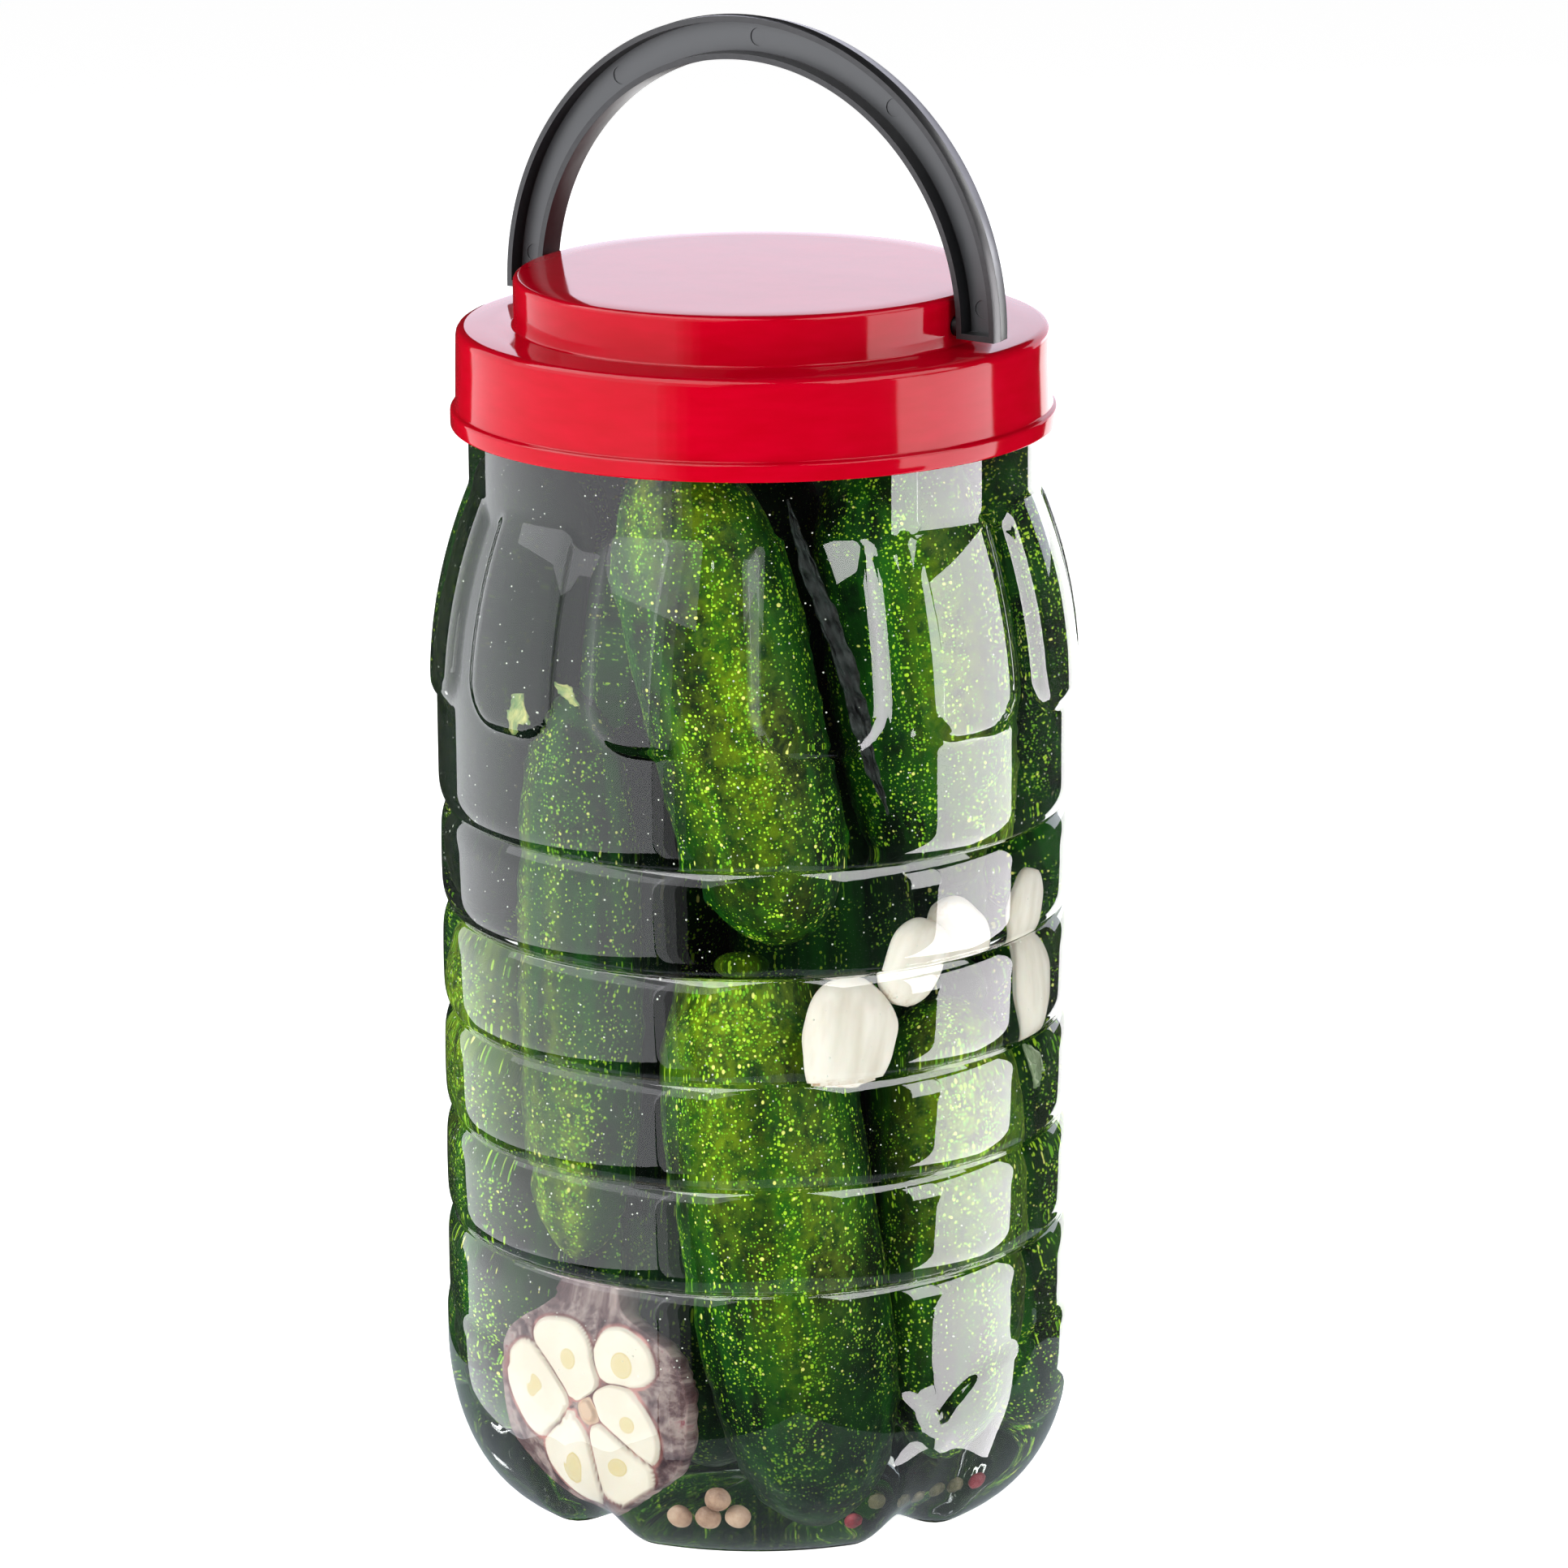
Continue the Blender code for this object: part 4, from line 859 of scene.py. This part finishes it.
def clove_piece(number, right, near, height, length, width, thickness, turn, lean):
    draw = np.random.default_rng(70 + number)
    rows, columns = 48, 56
    up, around = np.meshgrid(np.linspace(0.0, 1.0, rows), full_turn(columns), indexing="ij")
    swell = np.clip(1 - np.abs(1.88 * up - 1) ** 2.6, 0, 1) ** 0.5 * (1 - 0.24 * up ** 2)
    swell = np.where(up > 0.94, 0.93 * swell, swell) * (up < 0.999)
    ridge = 1 - 0.07 * np.cos(3 * around + 0.4) * np.sin(math.pi * up) + 0.02 * np.cos(7 * around + 2)
    x = 0.5 * swell * ridge * np.sin(around) + 0.10 * (up - 0.5) ** 2
    y = -0.5 * swell * ridge * np.cos(around) * (1 - 0.12 * np.sin(around) ** 2)
    points = np.stack([x * width, y * thickness, (up - 0.5) * length * 0.98], axis=-1)
    points += 0.12 * np.sin(points[..., ::-1] * 0.8 + draw.uniform(0, 6, 3))
    piece = listed_piece(f"peeled_clove_{number}", points.reshape(-1, 3) * MM,
                         ring_faces(rows, columns, upwards=True))
    shape = bmesh.new()
    shape.from_mesh(piece.data)
    bmesh.ops.remove_doubles(shape, verts=shape.verts, dist=0.00005)
    bmesh.ops.recalc_face_normals(shape, faces=shape.faces)
    shape.to_mesh(piece.data)
    shape.free()
    turned = Matrix.Rotation(math.radians(turn), 4, "Z") @ Matrix.Rotation(math.radians(lean), 4, "Y")
    piece.matrix_world = CONTENTS @ Matrix.Translation(Vector((right, -near, height)) * MM) @ turned
    return piece


def clove_finish():
    material, tree, shader = new_finish("peeled_garlic", Roughness=0.33, Specular_IOR_Level=0.15,
                                        Subsurface_Weight=0.2, Subsurface_Scale=0.003)
    place = place_of(tree)
    veins = noise_of(tree, stretched(tree, place, (1.0, 1.0, 0.2)), 240.0, 3.0)
    colour = ramp_of(tree, veins, ((0.3, (0.60, 0.56, 0.47)), (0.6, (0.73, 0.70, 0.62))))
    height = add_node(tree, "ShaderNodeSeparateXYZ", {0: place}).outputs["Z"]
    specks = ramp_of(tree, noise_of(tree, place, 900.0, 3.0, 0.7), ((0.52, 0.15), (0.62, 1.0)))
    root = mix_of(tree, 1.0, range_of(tree, height, 0.0070, 0.0100), specks, "MULTIPLY")
    feed(tree, shader.inputs["Base Color"], mix_of(tree, root, colour, (0.42, 0.28, 0.16)))
    bump_of(tree, veins, 0.0004, shader, 0.5)
    return material


peeled = clove_finish()
for number, clove in enumerate(CLOVES, start=1):
    piece = clove_piece(number, *clove)
    piece.data.materials.append(peeled)
    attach(piece, "jar")
    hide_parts(f"garlic_clove_{number}")

# The allspice and the peppercorns
# Dry berries that have sunk to the floor of the jar: four smooth tan ones and seven small
# wrinkled ones, green-brown, two of them red.
def berry_piece(name, nodes, wrinkle, waves):
    """Wrinkled balls in the places and sizes of the frame's own nodes, joined in one piece."""
    shape = bmesh.new()
    for number, node in enumerate(nodes):
        low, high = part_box(node)
        ball = bmesh.ops.create_icosphere(shape, subdivisions=4, radius=1.0)["verts"]
        reach = (high.z - low.z) / 2
        for vertex in ball:
            way = vertex.co.normalized()
            bend = math.sin(waves * way.x + number) * math.sin(waves * way.y + 2 * number)
            bend += 0.6 * math.sin(1.7 * waves * way.z + way.x * 3 + number)
            vertex.co = (low + high) / 2 + way * reach * (1 - wrinkle * (1.6 + bend) / 3.2)
    piece = shaped_piece(name, shape)
    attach(piece, "jar")
    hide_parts(*nodes)
    return piece


def berry_finish(name, stops, scale):
    material, tree, shader = new_finish(name, Roughness=0.5, Specular_IOR_Level=0.15)
    place = place_of(tree)
    feed(tree, shader.inputs["Base Color"], ramp_of(tree, noise_of(tree, place, scale, 4.0, 0.65), stops))
    bump_of(tree, noise_of(tree, place, 1500.0, 3.0), 0.0003, shader, 0.5)
    return material


allspice = berry_piece("allspice_berries", [f"allspice_{number}" for number in range(1, 5)], 0.08, 3.0)
allspice.data.materials.append(berry_finish(
    "allspice", ((0.3, (0.20, 0.11, 0.07)), (0.5, (0.38, 0.25, 0.17)), (0.72, (0.52, 0.40, 0.29))), 150.0))
corns = [f"peppercorn_{number}" for number in range(1, 8)]
red_corns = (corns[0], corns[6])
green_corns = [corn for corn in corns if corn not in red_corns]
peppercorns = berry_piece("peppercorns", green_corns, 0.2, 7.0)
peppercorns.data.materials.append(berry_finish(
    "peppercorn", ((0.3, (0.03, 0.03, 0.012)), (0.5, (0.09, 0.085, 0.04)),
                   (0.72, (0.22, 0.19, 0.12))), 260.0))
red_peppercorns = berry_piece("red_peppercorns", red_corns, 0.12, 5.0)
red_peppercorns.data.materials.append(berry_finish(
    "red_peppercorn", ((0.3, (0.06, 0.005, 0.008)), (0.5, (0.18, 0.015, 0.022)),
                       (0.72, (0.34, 0.07, 0.08))), 260.0))

# The leaf scraps
# Bits of dill and leaf: one long crinkled strip in the gap beside the front cucumber, a dark leaf whose
# near-black colour is partly painted shade of the gap, and two small pale scraps against the wall.
STRIP_TOP, STRIP_BOTTOM = (6.5, 53.0, 229.0), (26.0, 53.5, 163.0)
# Angle, radius and height of each pale scrap, its size, its tilt and its share of the size across
LEAF_SCRAPS = ((-49.0, 62.6, 182.0, 6.5, 25.0, 0.8), (-37.5, 61.8, 187.5, 6.0, -60.0, 0.42))
CURL_PLACE, CURL_SIZE, CURL_RADIUS, CURL_BEND = (55.0, 27.0, 99.5), 9.0, 2.0, 4.4


def leaf_piece(name, length, width, folds, depth, place):
    """A crinkled leaf with a midrib, pointed at both ends, along its own Z."""
    shape = bmesh.new()
    bmesh.ops.create_grid(shape, x_segments=14, y_segments=max(int(length / 0.5), 16), size=0.5)
    for vertex in shape.verts:
        across, along = vertex.co.x * 2, vertex.co.y
        wide = width / 2 * (1 - (2 * abs(along)) ** 2.5) * (1 + 0.12 * math.sin(40 * along + 3 * across))
        wide *= 1 + 0.35 * math.sin(9 * along + 1.5 * across)
        fold = math.sin(2 * math.pi * folds * along + 2 * across) + 0.5 * math.sin(9.0 * across + 31 * along)
        out = depth * fold * (0.3 + abs(across)) - 0.4 * abs(across)
        vertex.co = Vector((across * wide, out, along * length)) * MM
    piece = shaped_piece(name, shape)
    body = piece.modifiers.new("thickness", "SOLIDIFY")
    body.thickness = 0.35 * MM
    body.offset = 0.0
    piece.matrix_world = CONTENTS @ place
    return piece


def leaf_finish(name, dark, light):
    material, tree, shader = new_finish(name, Roughness=0.45, Specular_IOR_Level=0.25)
    veins = noise_of(tree, stretched(tree, place_of(tree), (1.0, 1.0, 0.3)), 700.0, 4.0, 0.6)
    feed(tree, shader.inputs["Base Color"], ramp_of(tree, veins, ((0.4, dark), (0.7, light))))
    bump_of(tree, veins, 0.0004, shader, 0.6)
    return material


strip_high = Vector((STRIP_TOP[0], -STRIP_TOP[1], STRIP_TOP[2]))
strip_low = Vector((STRIP_BOTTOM[0], -STRIP_BOTTOM[1], STRIP_BOTTOM[2]))
strip_run = strip_high - strip_low
strip_along = strip_run.normalized()
strip_across = strip_along.cross(Vector((0.0, -1.0, 0.0))).normalized()
strip_turn = Matrix((strip_across, strip_along.cross(strip_across), strip_along)).transposed().to_4x4()
strip = leaf_piece("leaf_strip_with_painted_shade", strip_run.length, 3.6, 14, 0.6,
                   Matrix.Translation((strip_high + strip_low) / 2 * MM) @ strip_turn)
# Partly painted shade: the strip's near-black colour stands in for a dark leaf and for the shade in the gap
strip.data.materials.append(leaf_finish("dark_leaf_with_painted_shade", (0.001, 0.0015, 0.0015), (0.022, 0.032, 0.028)))
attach(strip, "jar")
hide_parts("leaf_strip")
pale_leaf = leaf_finish("pale_leaf", (0.10, 0.20, 0.05), (0.50, 0.48, 0.16))
for number, (degrees, radius, height, size, tilt, slender) in enumerate(LEAF_SCRAPS, start=1):
    angle = math.radians(degrees)
    spot = Vector((radius * math.sin(angle), -radius * math.cos(angle), height)) * MM
    turned = Matrix.Rotation(angle, 4, "Z") @ Matrix.Rotation(math.radians(tilt), 4, "Y")
    scrap = leaf_piece(f"pale_leaf_{number}", size * 1.3, size * slender, 1.5, 0.3,
                       Matrix.Translation(spot) @ turned)
    scrap.data.materials.append(pale_leaf)
    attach(scrap, "jar")
    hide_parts(f"leaf_scrap_{number}")

curl_turn = Matrix.Rotation(math.radians(62), 4, "Z") @ Matrix.Rotation(math.radians(-20), 4, "Y")
curl_spot = Vector((CURL_PLACE[0], -CURL_PLACE[1], CURL_PLACE[2])) * MM
curl = leaf_piece("curled_leaf", CURL_SIZE, CURL_SIZE, 1.0, 0.5, Matrix.Translation(curl_spot) @ curl_turn)
for vertex in curl.data.vertices:
    bend = vertex.co.x / (CURL_SIZE * MM) * CURL_BEND
    vertex.co.y -= CURL_RADIUS * MM * (1 - math.cos(bend))
    vertex.co.x = CURL_RADIUS * MM * math.sin(bend)
curl.data.materials.append(leaf_finish("grey_green_leaf", (0.16, 0.24, 0.12), (0.46, 0.54, 0.36)))
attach(curl, "jar")

# The flecks
# Fine pale crumbs of spice and small air bubbles that hang in the brine near the wall.
FLECK_COUNT, FLECK_LOW, FLECK_HIGH = 2400, 40.0, 236.0


def fleck_piece():
    draw = np.random.default_rng(5)
    shape = bmesh.new()
    for _ in range(FLECK_COUNT):
        angle, height = draw.uniform(0, 2 * math.pi), draw.uniform(FLECK_LOW, FLECK_HIGH)
        limit = float(body_radius(np.array(angle), np.array(height))) - WALL - 0.9
        radius = limit - abs(draw.normal(0.0, 1.2))
        size = draw.uniform(0.08, 0.24) * MM
        spot = Vector((radius * math.sin(angle), -radius * math.cos(angle), height)) * MM
        ball = bmesh.ops.create_icosphere(shape, subdivisions=1, radius=size)["verts"]
        bmesh.ops.translate(shape, vec=spot, verts=ball)
    return shaped_piece("spice_flecks", shape)


flecks = fleck_piece()
flecks.data.materials.append(berry_finish(
    "spice_fleck", ((0.3, (0.45, 0.50, 0.42)), (0.7, (0.85, 0.88, 0.80))), 300.0))
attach(flecks, "jar")

# The stand, the lights and the camera
# A pale floor; panels that only show in gloss, mostly softboxes at the right and grey cards at
# the left; soft lights that only light the food. The camera stands where the photo's stood.
CAMERA_DISTANCE, CAMERA_HEIGHT = 1.400, 0.5234
CAMERA_PITCH, CAMERA_YAW, CAMERA_ROLL = math.radians(14.75), math.radians(0.24), math.radians(-0.35)
FOCAL_PIXELS, IMAGE_PIXELS, SENSOR = 8340.0, 1932.0, 36.0


def seen_from_jar(azimuth, elevation, distance, height=0.13):
    """A place by its azimuth from the camera's side towards the right, and its elevation."""
    a, e = math.radians(azimuth), math.radians(elevation)
    flat = Vector((math.sin(a) * math.cos(e), -math.cos(a) * math.cos(e), math.sin(e))) * distance
    return CONTENTS @ (flat + Vector((0.0, 0.0, height)))


def panel(name, azimuth, elevation, distance, wide, tall, brightness, tint, mirror):
    """A soft rectangular light that faces the jar; a mirror one is only seen in gloss."""
    light = bpy.data.lights.new(name, "AREA")
    light.shape = "RECTANGLE"
    light.size, light.size_y = wide, tall
    light.energy = brightness * math.pi * wide * tall
    light.color = tint
    item = linked(name, light)
    item.location = seen_from_jar(azimuth, elevation, distance)
    aim = seen_from_jar(0, 0, 0.0) - item.location
    item.rotation_euler = aim.to_track_quat("-Z", "Y").to_euler()
    item.visible_camera = False
    item.visible_transmission = False
    item.visible_glossy = mirror
    item.visible_diffuse = not mirror
    return item


bpy.ops.mesh.primitive_grid_add(x_subdivisions=8, y_subdivisions=8, size=12.0)
floor = bpy.context.object
floor.name = "floor"
pale, tree, shader = new_finish("floor", Roughness=0.6, Specular_IOR_Level=0.2, Emission_Strength=0.66,
                                Emission_Color=(1.0, 1.0, 1.0, 1.0))
feed(tree, shader.inputs["Base Color"], ramp_of(tree, noise_of(tree, None, 5.0), ((0.3, 0.86), (0.7, 0.88))))
floor.data.materials.append(pale)
floor.visible_glossy = False

WHITE, COOL = (1.0, 1.0, 1.0), (0.96, 0.97, 1.0)
# Azimuth, elevation and distance from the jar, width and height in metres, brightness and tint
MIRROR_PANELS = {
    "right_softbox": (83, -12, 0.80, 0.50, 1.00, 10.0, (1.0, 0.97, 1.0)),
    "right_softbox_wing": (60, 8, 0.80, 0.17, 0.43, 10.0, WHITE),
    "right_upper_softbox": (58, 42, 0.95, 0.90, 0.50, 9.0, WHITE),
    "left_softbox": (-62, 61, 0.95, 1.40, 0.58, 8.6, WHITE),
    "left_card": (-86, 3, 0.80, 1.90, 1.36, 2.4, (0.95, 0.96, 1.0)),
    "left_card_edge_1": (-34, 3, 0.80, 0.056, 1.36, 1.6, COOL),
    "left_card_edge_2": (-30, 3, 0.80, 0.056, 1.36, 0.9, COOL),
    "left_card_edge_3": (-26, 3, 0.80, 0.056, 1.36, 0.3, COOL),
    "left_upper_card": (-60, 35, 0.90, 1.60, 0.46, 1.7, COOL),
    "back_sheet": (160, 12, 1.60, 1.60, 0.70, 2.3, (0.86, 0.86, 1.0)),
    "back_right_card": (158, -10, 1.20, 0.70, 0.70, 3.4, WHITE),
}
for name, values in MIRROR_PANELS.items():
    panel(name, *values, mirror=True)
panel("left_key", -60, 18, 1.20, 1.00, 0.80, 5.4, WHITE, mirror=False)
panel("right_key", 50, 20, 1.20, 1.00, 0.80, 2.5, WHITE, mirror=False)
panel("back_fill", 190, 30, 1.60, 1.40, 0.80, 2.0, WHITE, mirror=False)
# The table under the jar shines up through its base
glow = panel("table_glow", 0, -90, 0.128, 0.24, 0.24, 0.45, (0.8, 0.9, 1.0), mirror=True)
glow.rotation_euler = (math.pi, 0.0, 0.0)

world = bpy.data.worlds.new("studio")
bpy.context.scene.world = world
world.use_nodes = True
tree = world.node_tree
sky = tree.nodes["Background"]
sky.inputs["Color"].default_value = (0.40, 0.40, 0.40, 1.0)
# Gloss sees a nearly dark room, so that the panels alone show in it
dark = add_node(tree, "ShaderNodeBackground", {"Color": (0.02, 0.02, 0.02)})
path = add_node(tree, "ShaderNodeLightPath").outputs["Is Glossy Ray"]
choose = add_node(tree, "ShaderNodeMixShader", {0: path, 1: sky.outputs[0], 2: dark.outputs[0]})
feed(tree, tree.nodes["World Output"].inputs["Surface"], choose.outputs[0])

bpy.context.scene.view_settings.view_transform = "Standard"
bpy.context.scene.cycles.caustics_reflective = False
bpy.context.scene.cycles.caustics_refractive = False

lens = bpy.data.cameras.new("camera")
lens.sensor_width = SENSOR
lens.lens = FOCAL_PIXELS / IMAGE_PIXELS * SENSOR
lens.clip_end = 50.0
camera = linked("camera", lens)
ahead = Vector((math.sin(CAMERA_YAW) * math.cos(CAMERA_PITCH), math.cos(CAMERA_YAW) * math.cos(CAMERA_PITCH),
                -math.sin(CAMERA_PITCH)))
level = Vector((math.cos(CAMERA_YAW), -math.sin(CAMERA_YAW), 0.0))
upright = level.cross(ahead)
right = level * math.cos(CAMERA_ROLL) + upright * math.sin(CAMERA_ROLL)
up = upright * math.cos(CAMERA_ROLL) - level * math.sin(CAMERA_ROLL)
turn = Matrix((right, up, -ahead)).transposed().to_4x4()
camera.matrix_world = CONTENTS @ Matrix.Translation((0.0, -CAMERA_DISTANCE, CAMERA_HEIGHT)) @ turn
bpy.context.scene.camera = camera
